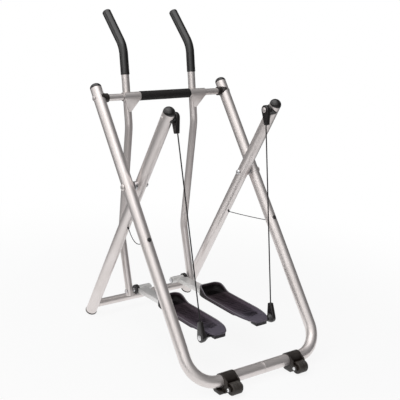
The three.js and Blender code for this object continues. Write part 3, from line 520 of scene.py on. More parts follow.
def plate_finish(name, marked=False):
    """Dark moulding. A marked plate is darkest low in its toe and on its wall, with painted shade there, and
    lightest on rim and heel, with a painted highlight on the rim and a painted sheen on the heel.
    """
    material, tree, shader, where = finish(name, Metallic=0.0, Specular_IOR_Level=0.2, Coat_Roughness=0.22)
    tone = drifting(tree, where, (0.05, 0.033, 0.041, 1), (0.038, 0.024, 0.031, 1), 16.0, (0.4, 0.52))
    cells = node(tree, "ShaderNodeTexVoronoi", feature="SMOOTH_F1", Scale=620.0)
    wire(tree, where, cells.inputs["Vector"])
    pebble = spread(tree, cells.outputs["Distance"], 0.05, 0.6, 1.0, 0.0)
    worn = place_group(
        tree, fine_specks, Vector=where, Color=tone["Color"], Speck=(0.1, 0.088, 0.1, 1),
        Scale=1500.0, Share=0.22,
    )
    shade = place_group(tree, dust_film, Vector=where, Color=worn["Color"], Share=0.05)["Color"]
    if marked:
        back = node(tree, "ShaderNodeAttribute", attribute_name="back").outputs["Fac"]
        depth = node(tree, "ShaderNodeAttribute", attribute_name="depth").outputs["Fac"]
        # Painted shade and light: darker at the toe, lighter towards the middle of the plate.
        shade = blended(tree, spread(tree, back, 60, 210, 0, 0.8), shade, (0.1, 0.074, 0.1, 1))
        # Painted sheen: a paler, bluer colour over the heel. The coat weight below also adds real gloss there.
        heel_sheen = spread(tree, back, 190, 300)
        shade = blended(tree, math_of(tree, "MULTIPLY", heel_sheen, 0.8), shade, (0.125, 0.112, 0.145, 1))
        # Painted shade: near black wherever a point lies well below the rim, low on the outer wall and deep in the
        # toe cup.
        shade = blended(tree, spread(tree, depth, 5, 12, 0, 0.93), shade, (0.004, 0.003, 0.0035, 1))
        # Painted highlight: a pale line along the top of the rim, which stops short of the tail.
        near_top = spread(tree, depth, 1.6, 0.4, 0, 0.85)
        rim = math_of(tree, "MULTIPLY", near_top, spread(tree, back, 300, 292))
        shade = blended(tree, rim, shade, (0.24, 0.23, 0.25, 1))
        wire(tree, math_of(tree, "MULTIPLY", heel_sheen, 0.25), shader.inputs["Coat Weight"])
    complete(tree, shader, shade, tone, pebble, 0.4, 0.0004)
    return material


finishes = {
    "silver_paint": paint_finish(
        "silver_paint_finish", (0.8, 0.745, 0.73, 1), (0.73, 0.675, 0.655, 1), (0.97, 0.94, 0.93, 1),
    ),
    "black_plastic": moulded_finish(
        "black_plastic_finish", (0.014, 0.0095, 0.0075, 1), (0.021, 0.015, 0.012, 1), (0.32, 0.42),
    ),
    "black_rubber": moulded_finish(
        "black_rubber_finish", (0.02, 0.0145, 0.011, 1), (0.028, 0.021, 0.016, 1), (0.38, 0.5),
        grain=700.0, strength=0.5, dust=0.1,
    ),
    "black_steel": moulded_finish(
        "black_steel_finish", (0.02, 0.018, 0.019, 1), (0.03, 0.027, 0.028, 1), (0.3, 0.4),
        grain=1500.0, strength=0.2,
    ),
    "zinc_steel": steel_finish(
        "zinc_finish", (0.78, 0.78, 0.79, 1), (0.68, 0.68, 0.7, 1), (0.24, 0.34), stretch=(1, 1, 0.15),
    ),
    "nylon": moulded_finish(
        "nylon_finish", (0.013, 0.011, 0.0115, 1), (0.018, 0.0155, 0.016, 1), (0.36, 0.46),
        grain=900.0, strength=0.2,
    ),
    "grip_rubber": moulded_finish(
        "grip_finish", (0.006, 0.005, 0.005, 1), (0.004, 0.003, 0.003, 1), (0.3, 0.38),
        grain=800.0, strength=0.4, dust=0.02, coat=0.7,
    ),
    "foam": foam_finish(),
    "footplate_plastic": plate_finish("plate_finish"),
    "steel_rope": rope_finish(),
}
glossy_boot = moulded_finish(
    "boot_finish", (0.009, 0.0075, 0.0075, 1), (0.013, 0.0105, 0.0105, 1), (0.24, 0.34),
    grain=900.0, strength=0.2, dust=0.02, coat=0.5,
)
# The trays' finish, with painted shade, painted highlight and painted sheen placed by their marks.
tray_painted_light_finish = plate_finish("tray_painted_light_finish", marked=True)
bracket_paint = paint_finish(
    "bracket_paint_finish", (0.84, 0.83, 0.82, 1), (0.78, 0.77, 0.755, 1), (0.97, 0.96, 0.95, 1), metal=0.4,
)

for name, thing in frame["nodes"].items():
    thing.data.materials.clear()
    thing.data.materials.append(finishes[slot_of[name]])

# Forms


def aimed(point, direction):
    """A place whose Z axis runs along direction."""
    return Matrix.Translation(point) @ Vector(direction).to_track_quat("Z", "Y").to_matrix().to_4x4()


def merged(*forms):
    """One form out of several."""
    whole = bmesh.new()
    for form in forms:
        step = bpy.data.meshes.new("step")
        form.to_mesh(step)
        form.free()
        whole.from_mesh(step)
        bpy.data.meshes.remove(step)
    return whole


def facing_out(form):
    """Joins corners that meet and turns every face outwards."""
    bmesh.ops.remove_doubles(form, verts=form.verts[:], dist=0.0005)
    bmesh.ops.recalc_face_normals(form, faces=form.faces[:])
    return form


def rod(start, end, radius, sides=40, end_radius=None):
    """A straight round bar, or a cone where it has an end radius."""
    form = bmesh.new()
    start, end = Vector(start), Vector(end)
    bmesh.ops.create_cone(
        form, cap_ends=True, cap_tris=False, segments=sides, radius1=radius,
        radius2=radius if end_radius is None else end_radius, depth=(end - start).length,
        matrix=aimed((start + end) / 2, end - start),
    )
    return form


def spun(profile, point, direction, sides=48, angle=2 * math.pi):
    """(radius, height) points turned round the line through point along direction."""
    form = bmesh.new()
    corners = [form.verts.new((radius, 0, height)) for radius, height in profile]
    edges = [form.edges.new(pair) for pair in zip(corners, corners[1:]) if pair[0] != pair[1]]
    bmesh.ops.spin(
        form, geom=corners + edges, cent=(0, 0, 0), axis=(0, 0, 1), dvec=(0, 0, 0), angle=angle,
        steps=sides, use_merge=angle > 6, use_duplicate=False,
    )
    facing_out(form)
    bmesh.ops.transform(form, matrix=aimed(point, direction), verts=form.verts[:])
    return form


def closed(profile):
    return [*profile, profile[0]]


def collar(inner, outer, low, high, inset=0.4, lead=0.4):
    """The closed profile of a ring whose outer edges are cut off by an inset and a lead."""
    return closed([
        (inner, low), (outer - inset, low), (outer, low + lead), (outer, high - lead), (outer - inset, high),
        (inner, high),
    ])


def domed(radius, height, rim, steps=7):
    """The profile of a dome from its rim's height to its top."""
    angles = [math.pi / 2 * i / steps for i in range(steps + 1)]
    points = [(radius * math.cos(a), rim + (height - rim) * math.sin(a)) for a in angles]
    return [*points[:-1], (0, height)]


def route(corners, bends, step=math.radians(5)):
    """Points and directions along straight stretches joined by arcs."""
    corners = [Vector(corner) for corner in corners]
    stations = [(corners[0], (corners[1] - corners[0]).normalized())]
    for before, corner, after, radius in zip(corners, corners[1:], corners[2:], bends):
        into, out = (corner - before).normalized(), (after - corner).normalized()
        turn = into.angle(out)
        axis = into.cross(out).normalized()
        start = corner - into * radius * math.tan(turn / 2)
        centre = start + axis.cross(into) * radius
        count = max(2, math.ceil(turn / step))
        for i in range(count + 1):
            swing = Quaternion(axis, turn * i / count)
            stations.append((centre + swing @ (start - centre), swing @ into))
    stations.append((corners[-1], (corners[-1] - corners[-2]).normalized()))
    return stations


def pieces_of(stations, spacing):
    """The same line with stations no further apart than spacing."""
    dense = [stations[0]]
    for (a, _), (b, heading) in zip(stations, stations[1:]):
        count = max(1, math.ceil((b - a).length / spacing))
        for i in range(1, count + 1):
            share = i / count
            direction = dense[-1][1].lerp(heading, share).normalized()
            dense.append((a.lerp(b, share), direction if i < count else heading))
    return dense


def swept(stations, radii, sides=40):
    """A round section carried along stations; radii is one number or one for each station."""
    form = bmesh.new()
    radii = radii if isinstance(radii, (list, tuple)) else [radii] * len(stations)
    place = aimed(*stations[0]) @ Matrix.Scale(radii[0], 4)
    ring = bmesh.ops.create_circle(form, cap_ends=True, segments=sides, radius=1, matrix=place)["verts"]
    edges = [edge for edge in form.edges if edge.verts[0] in ring and edge.verts[1] in ring]
    turn = aimed(*stations[0]).to_quaternion()
    for (_, before), (point, heading), radius in zip(stations, stations[1:], radii[1:]):
        turn = before.rotation_difference(heading) @ turn
        following = Matrix.Translation(point) @ turn.to_matrix().to_4x4() @ Matrix.Scale(radius, 4)
        made = bmesh.ops.extrude_edge_only(form, edges=edges)["geom"]
        edges = [item for item in made if isinstance(item, bmesh.types.BMEdge)]
        ring = [item for item in made if isinstance(item, bmesh.types.BMVert)]
        edges = [edge for edge in edges if edge.verts[0] in ring and edge.verts[1] in ring]
        bmesh.ops.transform(form, matrix=following @ place.inverted(), verts=ring)
        place = following
    bmesh.ops.edgeloop_fill(form, edges=edges)
    bmesh.ops.recalc_face_normals(form, faces=form.faces[:])
    return form


def slab(outline, start, end, rounding=0.0, segments=2):
    """An outline of (y, z) points given depth from start to end along X."""
    form = bmesh.new()
    face = form.faces.new([form.verts.new((start, y, z)) for y, z in outline])
    made = bmesh.ops.extrude_face_region(form, geom=[face])["geom"]
    moved = [item for item in made if isinstance(item, bmesh.types.BMVert)]
    bmesh.ops.translate(form, vec=(end - start, 0, 0), verts=moved)
    bmesh.ops.recalc_face_normals(form, faces=form.faces[:])
    if rounding:
        soften(form, rounding, segments)
    return form


def soften(form, width, segments=2, angle=math.radians(30)):
    """Rounds the edges that are sharper than angle."""
    sharp = [edge for edge in form.edges if edge.is_manifold and edge.calc_face_angle(0) > angle]
    bmesh.ops.bevel(
        form, geom=sharp, offset=width, offset_type="OFFSET", segments=segments, profile=0.5,
        affect="EDGES", clamp_overlap=True, material=-1,
    )
    return form


def piece(name, form, place, node_name, replaces=True, look=None, sharp=math.radians(32), also=()):
    """Puts a form in its place as an object that rides with, and stands for, a CAD node."""
    bmesh.ops.transform(form, matrix=place, verts=form.verts[:])
    for face in form.faces:
        face.smooth = True
    for edge in form.edges:
        edge.smooth = not edge.is_manifold or edge.calc_face_angle(0) < sharp
    mesh = bpy.data.meshes.new(name)
    form.to_mesh(mesh)
    form.free()
    thing = bpy.data.objects.new(name, mesh)
    bpy.context.scene.collection.objects.link(thing)
    mesh.materials.append(look or finishes[slot_of[node_name]])
    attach(thing, body_of[node_name])
    if replaces:
        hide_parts(node_name, *also)
    return thing


def trim_to_leg(form, side, leg_x, radius):
    """Moves the end of a tube that meets a leg on to the leg's round face."""
    for vert in form.verts:
        if side * vert.co.x > leg_x - radius - 1:
            vert.co.x = side * (leg_x - math.sqrt(max(0.0, radius * radius - vert.co.y ** 2)))
    return form


# Frames, crossbar and pivots


def rear_tube(side):
    """A rear leg and its half of the floor tube; the left half ends in a raised collar at the seam."""
    corners = [
        (side * rear_half_width, 0, rear_upper), (side * rear_half_width, 0, -rear_lower),
        (seam_x + side * (0.2 if side > 0 else 9), 0, -rear_lower),
    ]
    stations = route(corners, [floor_bend])
    radii = [frame_tube] * len(stations)
    end, heading = stations[-1]
    if side < 0:
        for back, step in ((7.5, 0), (6, 0.45), (1.2, 0.45), (0.2, -0.6)):
            stations.append((end + heading * (8.8 - back), heading))
            radii.append(frame_tube + step)
    else:
        radii[-1] = frame_tube - 0.7
        stations.insert(-1, (end - heading * 1.0, heading))
        radii.insert(-1, frame_tube)
    return swept(stations, radii, 56)


def end_cap(height, point):
    """A domed cap on a frame tube's upper end, with a spigot down into it."""
    profile = [
        (0, -4), (cap_spigot, -4), (cap_spigot, gap), (frame_tube - 0.5, gap), (frame_tube, gap + 0.5),
    ]
    dome = [(radius, rise + gap) for radius, rise in domed(frame_tube, height, cap_rim, 12)]
    return spun(profile + dome, point, UPRIGHT, 56)


def headed(radius, height, point, direction, shank=3.0, shank_radius=4.0, sides=36):
    """A domed head on a length of shank."""
    profile = [(0, -shank), (shank_radius, -shank), (shank_radius, 0), (radius - 0.4, 0), (radius, 0.4)]
    return spun(profile + domed(radius, height, min(1.6, height * 0.45), 8), point, direction, sides)


for name, side in sides:
    x = side * rear_half_width
    piece(f"rear_tube_{name}", rear_tube(side), rear, f"rear_frame_tube_{name}")
    piece(
        f"rear_cap_{name}", end_cap(rear_cap_height, (x, 0, rear_upper)),
        rear, f"rear_frame_cap_{name}", look=glossy_boot,
    )
    outward = (side, 0, 0)
    face = x + side * (frame_tube + gap)
    screw = headed(pivot_head, pivot_head_height, (face, 0, 0), outward, shank=10, shank_radius=pivot_shank)
    piece(f"pivot_screw_{name}", screw, rear, f"pivot_bolt_{name}", look=finishes["silver_paint"])
    washer_profile = collar(pivot_shank + 0.6, pivot_washer, 0, pivot_washer_length)
    washer = spun(washer_profile, (side * (front_half_width + frame_tube + gap), 0, 0), outward)
    piece(f"pivot_washer_{name}", washer, rear, f"pivot_spacer_{name}")
    nut_seat = side * (front_half_width - frame_tube - gap)
    cap_nut = headed(
        pivot_nut, pivot_nut_height, (nut_seat, 0, 0), (-side, 0, 0), shank=2, shank_radius=5,
    )
    piece(f"pivot_cap_nut_{name}", cap_nut, rear, f"pivot_nut_{name}")
    through = 2 * (frame_tube + gap) + 6
    stay_seat = (x, -frame_tube - gap, -stay_bolt_drop)
    stay_screw = headed(
        stay_bolt_head, stay_bolt_head_height, stay_seat, (0, -1, 0), shank=through, shank_radius=stay_bolt,
    )
    piece(f"stay_screw_{name}", stay_screw, rear, f"stay_bolt_{name}")

nut_face = rear_half_width + frame_tube + gap
rod_ends = [
    headed(
        crossbar_nut, crossbar_nut_height, (side * nut_face, 0, crossbar_rise), (side, 0, 0),
        shank=3, shank_radius=4.5,
    )
    for _, side in sides
]
piece("crossbar_acorn_nuts", merged(*rod_ends), rear, "crossbar_tie_rod", look=finishes["silver_paint"])
pipe_end = crossbar_end - gap
pipe = rod((-pipe_end, 0, crossbar_rise), (pipe_end, 0, crossbar_rise), crossbar, 48)
piece("crossbar_pipe", pipe, rear, "crossbar_tube")


def foam_roll():
    """The foam roll, slightly uneven and rounded at both ends."""
    half = foam_half
    rim = [(crossbar + 0.4, half), (15.6, half), (17.2, half - 0.6), (18.1, half - 2.2)]
    body = [(18.3, half - 5), (18.15, 60), (18.35, 0), (18.15, -60), (18.3, 5 - half)]
    back = [(radius, -height) for radius, height in reversed(rim)]
    return spun(closed(rim + body + back), (0, 0, crossbar_rise), ACROSS, 56)


piece("crossbar_foam", foam_roll(), rear, "crossbar_grip")


def saddle_mouth(side, leg_x, height):
    """A thin shell round the inner half of a leg, cut to an oval whose points hug the leg."""
    inner, outer = frame_tube + gap, frame_tube + gap + saddle_wall
    columns, rows = 32, 8
    form = bmesh.new()
    skins = []
    for radius, shrink in ((inner, 0.0), (outer - 0.5, 0.0), (outer, 0.6)):
        reach, rise = lip_reach - shrink, saddle_radius - shrink
        skin = []
        for i in range(columns + 1):
            y = reach * math.sin(math.pi * (i / columns - 0.5))
            top = rise * math.sqrt(max(0.0, 1 - (y / reach) ** 2))
            x = side * (leg_x - math.sqrt(max(0.0, radius * radius - y * y)))
            heights = [height + top * (2 * j / rows - 1) for j in range(rows + 1)]
            skin.append([form.verts.new((x, y, z)) for z in heights])
        skins.append(skin)
    for skin in (skins[0], skins[2]):
        for left, right in zip(skin, skin[1:]):
            for j in range(rows):
                form.faces.new((left[j], left[j + 1], right[j + 1], right[j]))
    for inside, outside in zip(skins, skins[1:]):
        for j in (0, rows):
            for i in range(columns):
                form.faces.new((inside[i][j], inside[i + 1][j], outside[i + 1][j], outside[i][j]))
    for column in skins[1]:
        bmesh.ops.delete(form, geom=column[1:rows], context="VERTS")
    bmesh.ops.remove_doubles(form, verts=form.verts[:], dist=0.01)
    return facing_out(form)


def saddle(side):
    """A short cup on the crossbar's end that opens into a pair of lips round the leg."""
    cup = spun(
        [(0, 0), (14.2, 0), (16.7, 0.5), (saddle_radius, 1.4), (saddle_radius, 34), (0, 34)],
        (side * crossbar_end, 0, crossbar_rise), (side, 0, 0), 48,
    )
    trim_to_leg(cup, side, rear_half_width, frame_tube + gap)
    return merged(cup, saddle_mouth(side, rear_half_width, crossbar_rise))


def eye_saddle(side):
    """The same form between the front leg and the cable's upper eye."""
    bore = pin_radius + 0.5
    profile = [
        (bore, 0), (16.3, 0), (saddle_radius - 0.2, 0.9), (saddle_radius, 2), (saddle_radius, 24),
        (bore, 24),
    ]
    seat = (side * (eye_top_x + eye_half + gap), 0, pin_rise)
    cup = spun(closed(profile), seat, (side, 0, 0), 48)
    trim_to_leg(cup, side, front_half_width, frame_tube + gap)
    return merged(cup, saddle_mouth(side, front_half_width, pin_rise))


for name, side in sides:
    piece(f"saddle_{name}", saddle(side), rear, f"crossbar_saddle_{name}")
    piece(f"eye_saddle_{name}", eye_saddle(side), front, f"cable_collar_{name}", look=glossy_boot)

for name, side in sides:
    x = side * front_half_width
    leg = rod((x, 0, -front_lower), (x, 0, front_upper), frame_tube, 56)
    piece(f"leg_tube_{name}", leg, front, f"front_leg_{name}")
    piece(
        f"leg_ball_cap_{name}", end_cap(leg_cap_height, (x, 0, front_upper)),
        front, f"front_leg_cap_{name}", look=glossy_boot,
    )
    sole_profile = [
        (0, -4), (cap_spigot, -4), (cap_spigot, gap), (foot_cap - 1, gap), (foot_cap, gap + 1),
        (foot_cap, gap + 4.6), (foot_cap - 1.4, gap + foot_cap_depth), (foot_cap - 4, gap + foot_cap_depth),
        (foot_cap - 5, gap + 5), (0, gap + 5),
    ]
    sole = spun(sole_profile, (x, 0, -front_lower), -UPRIGHT, 56)
    piece(f"leg_sole_{name}", sole, front, f"front_leg_foot_{name}")

joining_ends = [(x, 0, -cross_tube_drop) for x in (-front_half_width, front_half_width)]
joining = rod(*joining_ends, cross_tube, 56)
for _, side in sides:
    trim_to_leg(joining, side, front_half_width, frame_tube + gap)
piece("joining_tube", joining, front, "front_cross_tube")

# Pins that carry the cables


def cable_pin(side):
    """A pin through the leg, its collar and the cable's eye: domed inside, with a low nut outside."""
    seat = eye_top_x - eye_half - gap
    tail = front_half_width + frame_tube + gap - seat
    profile = [
        (0, -tail - 2.2), (4, -tail - 2), (7, -tail - 1.2), (8, -tail - 0.4), (8, -tail),
        (pin_radius, -tail), (pin_radius, 0), (pin_head - 0.4, 0), (pin_head, 0.4),
    ]
    dome = domed(pin_head, pin_head_height, 1.6, 8)
    return spun(profile + dome, (side * seat, 0, pin_rise), (-side, 0, 0), 40)


for name, side in sides:
    piece(f"cable_pin_{name}", cable_pin(side), front, f"cable_stud_{name}", look=finishes["silver_paint"])

# Floor clamps and wheels


def strap(side):
    """The band round the floor tube, with the two cheeks, nose and toe moulded on to it."""
    centre = side * clamp_centre
    half = clamp_width / 2
    band = spun(collar(clamp_inside, clamp_outside, -half, half, 0.6, 0.7), (centre, 0, 0), ACROSS, 56)
    floor = -floor_tube_height
    cheek = [(-16, 19.6), (-38, 8)]
    arc = [math.radians(a) for a in range(60, 300, 20)]
    cheek += [
        (-wheel_back + axle_boss * math.cos(a), axle_rise + axle_boss * math.sin(a)) for a in arc
    ]
    cheek += [(-28, floor), (5, floor), (15, floor + 9), (18, -17.8), (4, -25)]
    cheek += [(-12, -22.4), (-22, -12), (-25, 0), (-20, 14)]
    slot = wheel_half + 1.5
    cheeks = [
        slab(cheek, centre - half, centre - slot, 1.2), slab(cheek, centre + slot, centre + half, 1.2),
    ]
    web = slab(
        [(-12, -22.4), (-20, -28), (-23, floor), (5, floor), (15, floor + 9), (18, -17.8), (4, -25)],
        centre - half + 2, centre + half - 2, 1.2,
    )
    toe = slab(
        [(-28, floor), (5, floor), (15, floor + 9), (15, -26), (-28, -26)],
        centre + side * (half - 2), centre + side * (half + clamp_toe), 1.6,
    )
    return merged(band, *cheeks, web, toe)


def wheel(side):
    """A solid roller whose tread is two ribbed bands."""
    half = wheel_half
    tread = []
    for start in (3 - half, 1.6):
        tread.append((wheel_radius - 1.6, start - 0.8))
        for rib in range(6):
            height = start + (half - 4.6) * rib / 6
            tread += [(wheel_radius, height + 0.3), (wheel_radius, height + 1.9)]
            tread.append((wheel_radius - 0.7, height + 2.4))
    face = [(4.4, -half), (8.4, -half), (8.8, -half + 1.5), (17.5, -half + 1.5), (18, -half)]
    face.append((wheel_radius - 2.8, -half))
    back = [(radius, -height) for radius, height in reversed(face)]
    place = (side * clamp_centre, -wheel_back, axle_rise)
    return spun(closed(face + tread + back), place, ACROSS, 60)


def axle(side):
    """The wheel's pin, with a low head on each cheek."""
    half = clamp_width / 2 + gap
    head = [
        (0, half + 2.5), (4.5, half + 2.5), (axle_head - 0.3, half + 2), (axle_head, half + 1.4),
        (axle_head, half), (4, half),
    ]
    profile = head + [(radius, -height) for radius, height in reversed(head)]
    return spun(profile, (side * clamp_centre, -wheel_back, axle_rise), ACROSS, 36)


for name, side in sides:
    piece(f"clamp_body_{name}", strap(side), floor_line, f"foot_clamp_{name}")
    piece(f"roller_{name}", wheel(side), floor_line, f"wheel_{name}")
    piece(f"roller_pin_{name}", axle(side), floor_line, f"wheel_axle_{name}")

# Swing arms


def arm_route(side, points, bends, step=math.radians(4)):
    return route([(side * arm_x, point.y, point.z) for point in points], bends, step)


def gusset(side):
    """The flat plate that braces the arm's tube to its sleeve, narrow low down and wide at the sleeve."""
    foot = arm_beside - slope(arm_lean) * gusset_drop + arm_beside.normalized() * (weld_depth - arm_tube)
    reach = math.hypot(foot.y, foot.z)
    span = sleeve - weld_depth
    rise = math.sqrt(reach * reach - span * span)
    towards = math.atan2(-foot.z, -foot.y) + math.atan2(span, rise)
    up = Vector((0, math.cos(towards), math.sin(towards)))
    away = Vector((0, -math.sin(towards), math.cos(towards)))
    form = bmesh.new()
    half = sleeve_half - gusset_inset
    corners = [(-gusset_tip, 0), (gusset_tip, 0), (half, rise), (-half, rise)]
    origin = Vector((side * sleeve_middle, foot.y, foot.z))
    face = form.faces.new([form.verts.new(origin + ACROSS * x + up * height) for x, height in corners])
    made = bmesh.ops.extrude_face_region(form, geom=[face])["geom"]
    moved = [item for item in made if isinstance(item, bmesh.types.BMVert)]
    bmesh.ops.translate(form, vec=away * gusset_thickness, verts=moved)
    bmesh.ops.recalc_face_normals(form, faces=form.faces[:])
    return soften(form, 0.6, 2)


def weld_bead(start, end, radius, ripples):
    """A line of weld, with the ripples of its passes."""
    start, end = Vector(start), Vector(end)
    heading = (end - start).normalized()
    stations, radii = [], []
    for i in range(ripples * 2 + 1):
        share = i / (ripples * 2)
        stations.append((start.lerp(end, share), heading))
        radii.append(radius * (1.0 if i % 2 else 0.78) * (0.5 if i in (0, ripples * 2) else 1))
    return swept(stations, radii, 12)


def arm(side):
    """The bent tube, the sleeve welded beside it, their gusset and two weld beads."""
    bends = [handle_end, handle_bend, bow_bend, shin_bend, arm_end]
    tube = swept(arm_route(side, bends, arm_bends), arm_tube, 48)
    profile = collar(14.8, sleeve, -sleeve_half, sleeve_half)
    sleeve_tube = spun(profile, (side * sleeve_middle, 0, 0), ACROSS, 56)
    across = arm_beside.normalized()
    touch = across * (sleeve - 0.4)
    beads = []
    for lift in (-1, 1):
        offset = touch + slope(arm_lean) * 6.5 * lift
        beads.append(weld_bead(
            (side * arm_x - 9, offset.y, offset.z), (side * arm_x + 9, offset.y, offset.z), 2.2, 7,
        ))
    return merged(tube, sleeve_tube, gusset(side), *beads)


def grip(side):
    """The rubber grip, with a fine ring round it every few millimetres and a flat rounded end."""
    start = arm_beside + slope(arm_lean) * grip_start
    line = arm_route(side, [start, handle_bend, handle_end], arm_bends[:1], math.radians(3))
    line = pieces_of(line, 1.6)
    radii = [grip_radius if i % 2 else grip_radius - 0.65 for i in range(len(line))]
    radii[:4] = [grip_radius - 0.9, grip_radius - 0.2, grip_radius, grip_radius]
    end, heading = line[-1]
    dome = [(1.5, grip_radius), (3, grip_radius), (4.6, 16.8), (6, 15.3), (6.8, 12), (7, 7.5), (7, 3)]
    line += [(end + heading * height, heading) for height, _ in dome]
    radii[-3:] = [grip_radius] * 3
    radii += [radius for _, radius in dome]
    return swept(line, radii, 36)


for name, side in sides:
    piece(f"arm_tube_{name}", arm(side), arm_place[name], f"swing_arm_{name}")
    piece(f"arm_handle_{name}", grip(side), arm_place[name], f"arm_grip_{name}", sharp=math.radians(60))
    half = sleeve_half
    liner_profile = [(13.35, -half), (14.5, -half), (14.5, half), (13.35, half)]
    liner = spun(closed(liner_profile), (side * sleeve_middle, 0, 0), ACROSS, 48)
    piece(f"arm_liner_{name}", liner, arm_place[name], f"arm_bush_{name}")
    shank, wide, head = foot_bolt, foot_bolt_head, pivot_tube_inner - gap
    spacer_end, tail = arm_x - arm_tube - gap, arm_x + arm_tube + gap
    screw_profile = [
        (0, head - 6.5), (3.4, head - 6.5), (3.4, head - 3.7), (wide - 0.8, head - 3.7), (wide, head - 4.5),
        (wide, head), (shank, head), (shank, disc_outer + gap), (wide, disc_outer + gap),
        (wide, spacer_end), (shank, spacer_end), (shank, tail), (wide, tail), (wide, tail + 1.4),
        (wide - 1.2, tail + 2.5), (0, tail + 2.5),
    ]
    screw = spun(screw_profile, (0, foot_pivot.y, foot_pivot.z), (side, 0, 0), 36)
    piece(f"pivot_pin_{name}", screw, arm_place[name], f"foot_bolt_{name}")

# Footplates, their brackets and pivots


def rim_height(back):
    """Height of the plate's rim at a distance behind its front."""
    if back <= toe_flat:
        return toe_top
    if back <= toe_flat + toe_fall:
        fallen = (1 - math.cos(math.pi * (back - toe_flat) / toe_fall)) / 2
        return toe_top + (rim_top - toe_top) * fallen
    if back <= pocket_end:
        return rim_top
    return rim_top - tail_fall * (back - pocket_end) / block_length


def skirt_height(back):
    """Height of the skirt's lower edge, which steps up towards the tail."""
    return skirt_low + skirt_step * min(1, max(0, (back - skirt_step_back) / skirt_step_length))


def plate_outline(inset, count=18):
    """Half of the plate's outline as (x, back) points, from the toe's middle to the tail's middle."""
    half, toe, tail = plate_half - inset, toe_half - inset / 2, tail_half - inset / 2
    start, back, waist = inset, plate_length - inset, plate_length - plate_tail
    round_end = start + toe_round
    points = [(toe * i / 4, start) for i in range(4)]
    for i in range(count + 1):
        t = i / count
        points.append((
            toe * (1 - t) ** 2 + 2 * half * t * (1 - t) + half * t * t,
            start * (1 - t) ** 2 + 2 * start * t * (1 - t) + round_end * t * t,
        ))
    points += [(half, round_end + (waist - round_end) * i / 12) for i in range(1, 12)]
    for i in range(count + 1):
        t = i / count
        a, b, c, d = (1 - t) ** 3, 3 * t * (1 - t) ** 2, 3 * t * t * (1 - t), t ** 3
        points.append((
            a * half + b * half + c * (tail + half) / 2 + d * tail,
            a * waist + b * (waist + back) / 2 + c * back + d * back,
        ))
    points += [(tail * (3 - i) / 4, back) for i in range(3)]
    points[-1] = (0.0, back)
    return points


def ring_points(inset, height, end=plate_length):
    """The plate's outline at an inset; a ring of the pocket stops at its end."""
    half = [(x, min(back, end)) for x, back in plate_outline(inset)]
    whole = half + [(-x, back) for x, back in reversed(half[1:-1])]
    return [Vector((x, -plate_front - back, height(back))) for x, back in whole]


def lofted(rings):
    """Closed rings of points, bridged one to the next and filled at both ends."""
    form = bmesh.new()
    loops = []
    for points in rings:
        corners = [form.verts.new(point) for point in points]
        loops.append([form.edges.new(pair) for pair in zip(corners, corners[1:] + corners[:1])])
    for lower, upper in zip(loops, loops[1:]):
        bmesh.ops.bridge_loops(form, edges=lower + upper)
    for loop in (loops[0], loops[-1]):
        bmesh.ops.edgeloop_fill(form, edges=loop)
    bmesh.ops.recalc_face_normals(form, faces=form.faces[:])
    return form


def plate_shell():
    """A tray with a raised toe, drawn as rings that climb its outside and go down inside."""
    return lofted([
        ring_points(3.0, lambda back: under_top),
        ring_points(3.0, lambda back: skirt_height(back) + 0.4),
        ring_points(2.2, skirt_height),
        ring_points(0.9, skirt_height),
        ring_points(0.1, lambda back: skirt_height(back) + 1),
        ring_points(0.0, lambda back: skirt_height(back) + 3),
        ring_points(0.0, lambda back: rim_height(back) - 2.2),
        ring_points(0.35, lambda back: rim_height(back) - 1),
        ring_points(1.3, lambda back: rim_height(back) - 0.2),
        ring_points(2.6, rim_height),
        ring_points(4.2, lambda back: rim_height(back) - 0.3, pocket_end),
        ring_points(5.3, lambda back: rim_height(back) - 1.4, pocket_end - 0.8),
        ring_points(6.0, lambda back: floor_top + (rim_height(back) - floor_top) * 0.55, pocket_end - 1.4),
        ring_points(6.8, lambda back: floor_top + 0.6 + (rim_height(back) - rim_top) * 0.1, pocket_end - 2),
        ring_points(9.0, lambda back: floor_top, pocket_end - 4),
        ring_points(13.0, lambda back: floor_top, pocket_end - 8),
        ring_points(13.8, lambda back: floor_top + 0.9, pocket_end - 8.8),
        ring_points(15.4, lambda back: floor_top + 0.9, pocket_end - 10.4),
        ring_points(16.4, lambda back: floor_top, pocket_end - 11.4),
        ring_points(24.0, lambda back: floor_top, pocket_end - 19),
        ring_points(32.0, lambda back: floor_top, pocket_end - 27),
        ring_points(40.0, lambda back: floor_top, pocket_end - 35),
    ])


def tail_block():
    """The solid end of the plate, which the cable's pin goes through."""
    start, reach = pocket_end, block_half

    def plan(inset, height):
        outline = plate_outline(0.4 + inset)
        edge = [(x, back) for x, back in outline if back > start + 8 and x <= reach - inset]
        half = [(reach - inset, start + inset), (reach - inset, edge[0][1]), *edge]
        whole = half + [(-x, back) for x, back in reversed(half[:-1])]
        return [Vector((x, -plate_front - back, height)) for x, back in whole]

    low = floor_top - block_drop
    high = under_top + 1
    levels = ((1.6, low), (0.5, low + 0.4), (0, low + 1.6), (0, high), (2, high + 0.2))
    return lofted([plan(inset, height) for inset, height in levels])


def tread():
    """Low bars across the plate's floor that keep a shoe from sliding."""
    bars = []
    for i in range(15):
        back = 62 + i * 14
        reach = min(36.0, max(x for x, along in plate_outline(21) if abs(along - back) < 9))
        middle, low, high = -plate_front - back, floor_top - 0.5, floor_top + 0.7
        section = [(middle - 1.6, low), (middle - 0.9, high), (middle + 0.9, high), (middle + 1.6, low)]
        bars.append(slab(section, -reach, reach))
    return merged(*bars)


def shifted(form, x):
    bmesh.ops.translate(form, vec=(x, 0, 0), verts=form.verts[:])
    return form


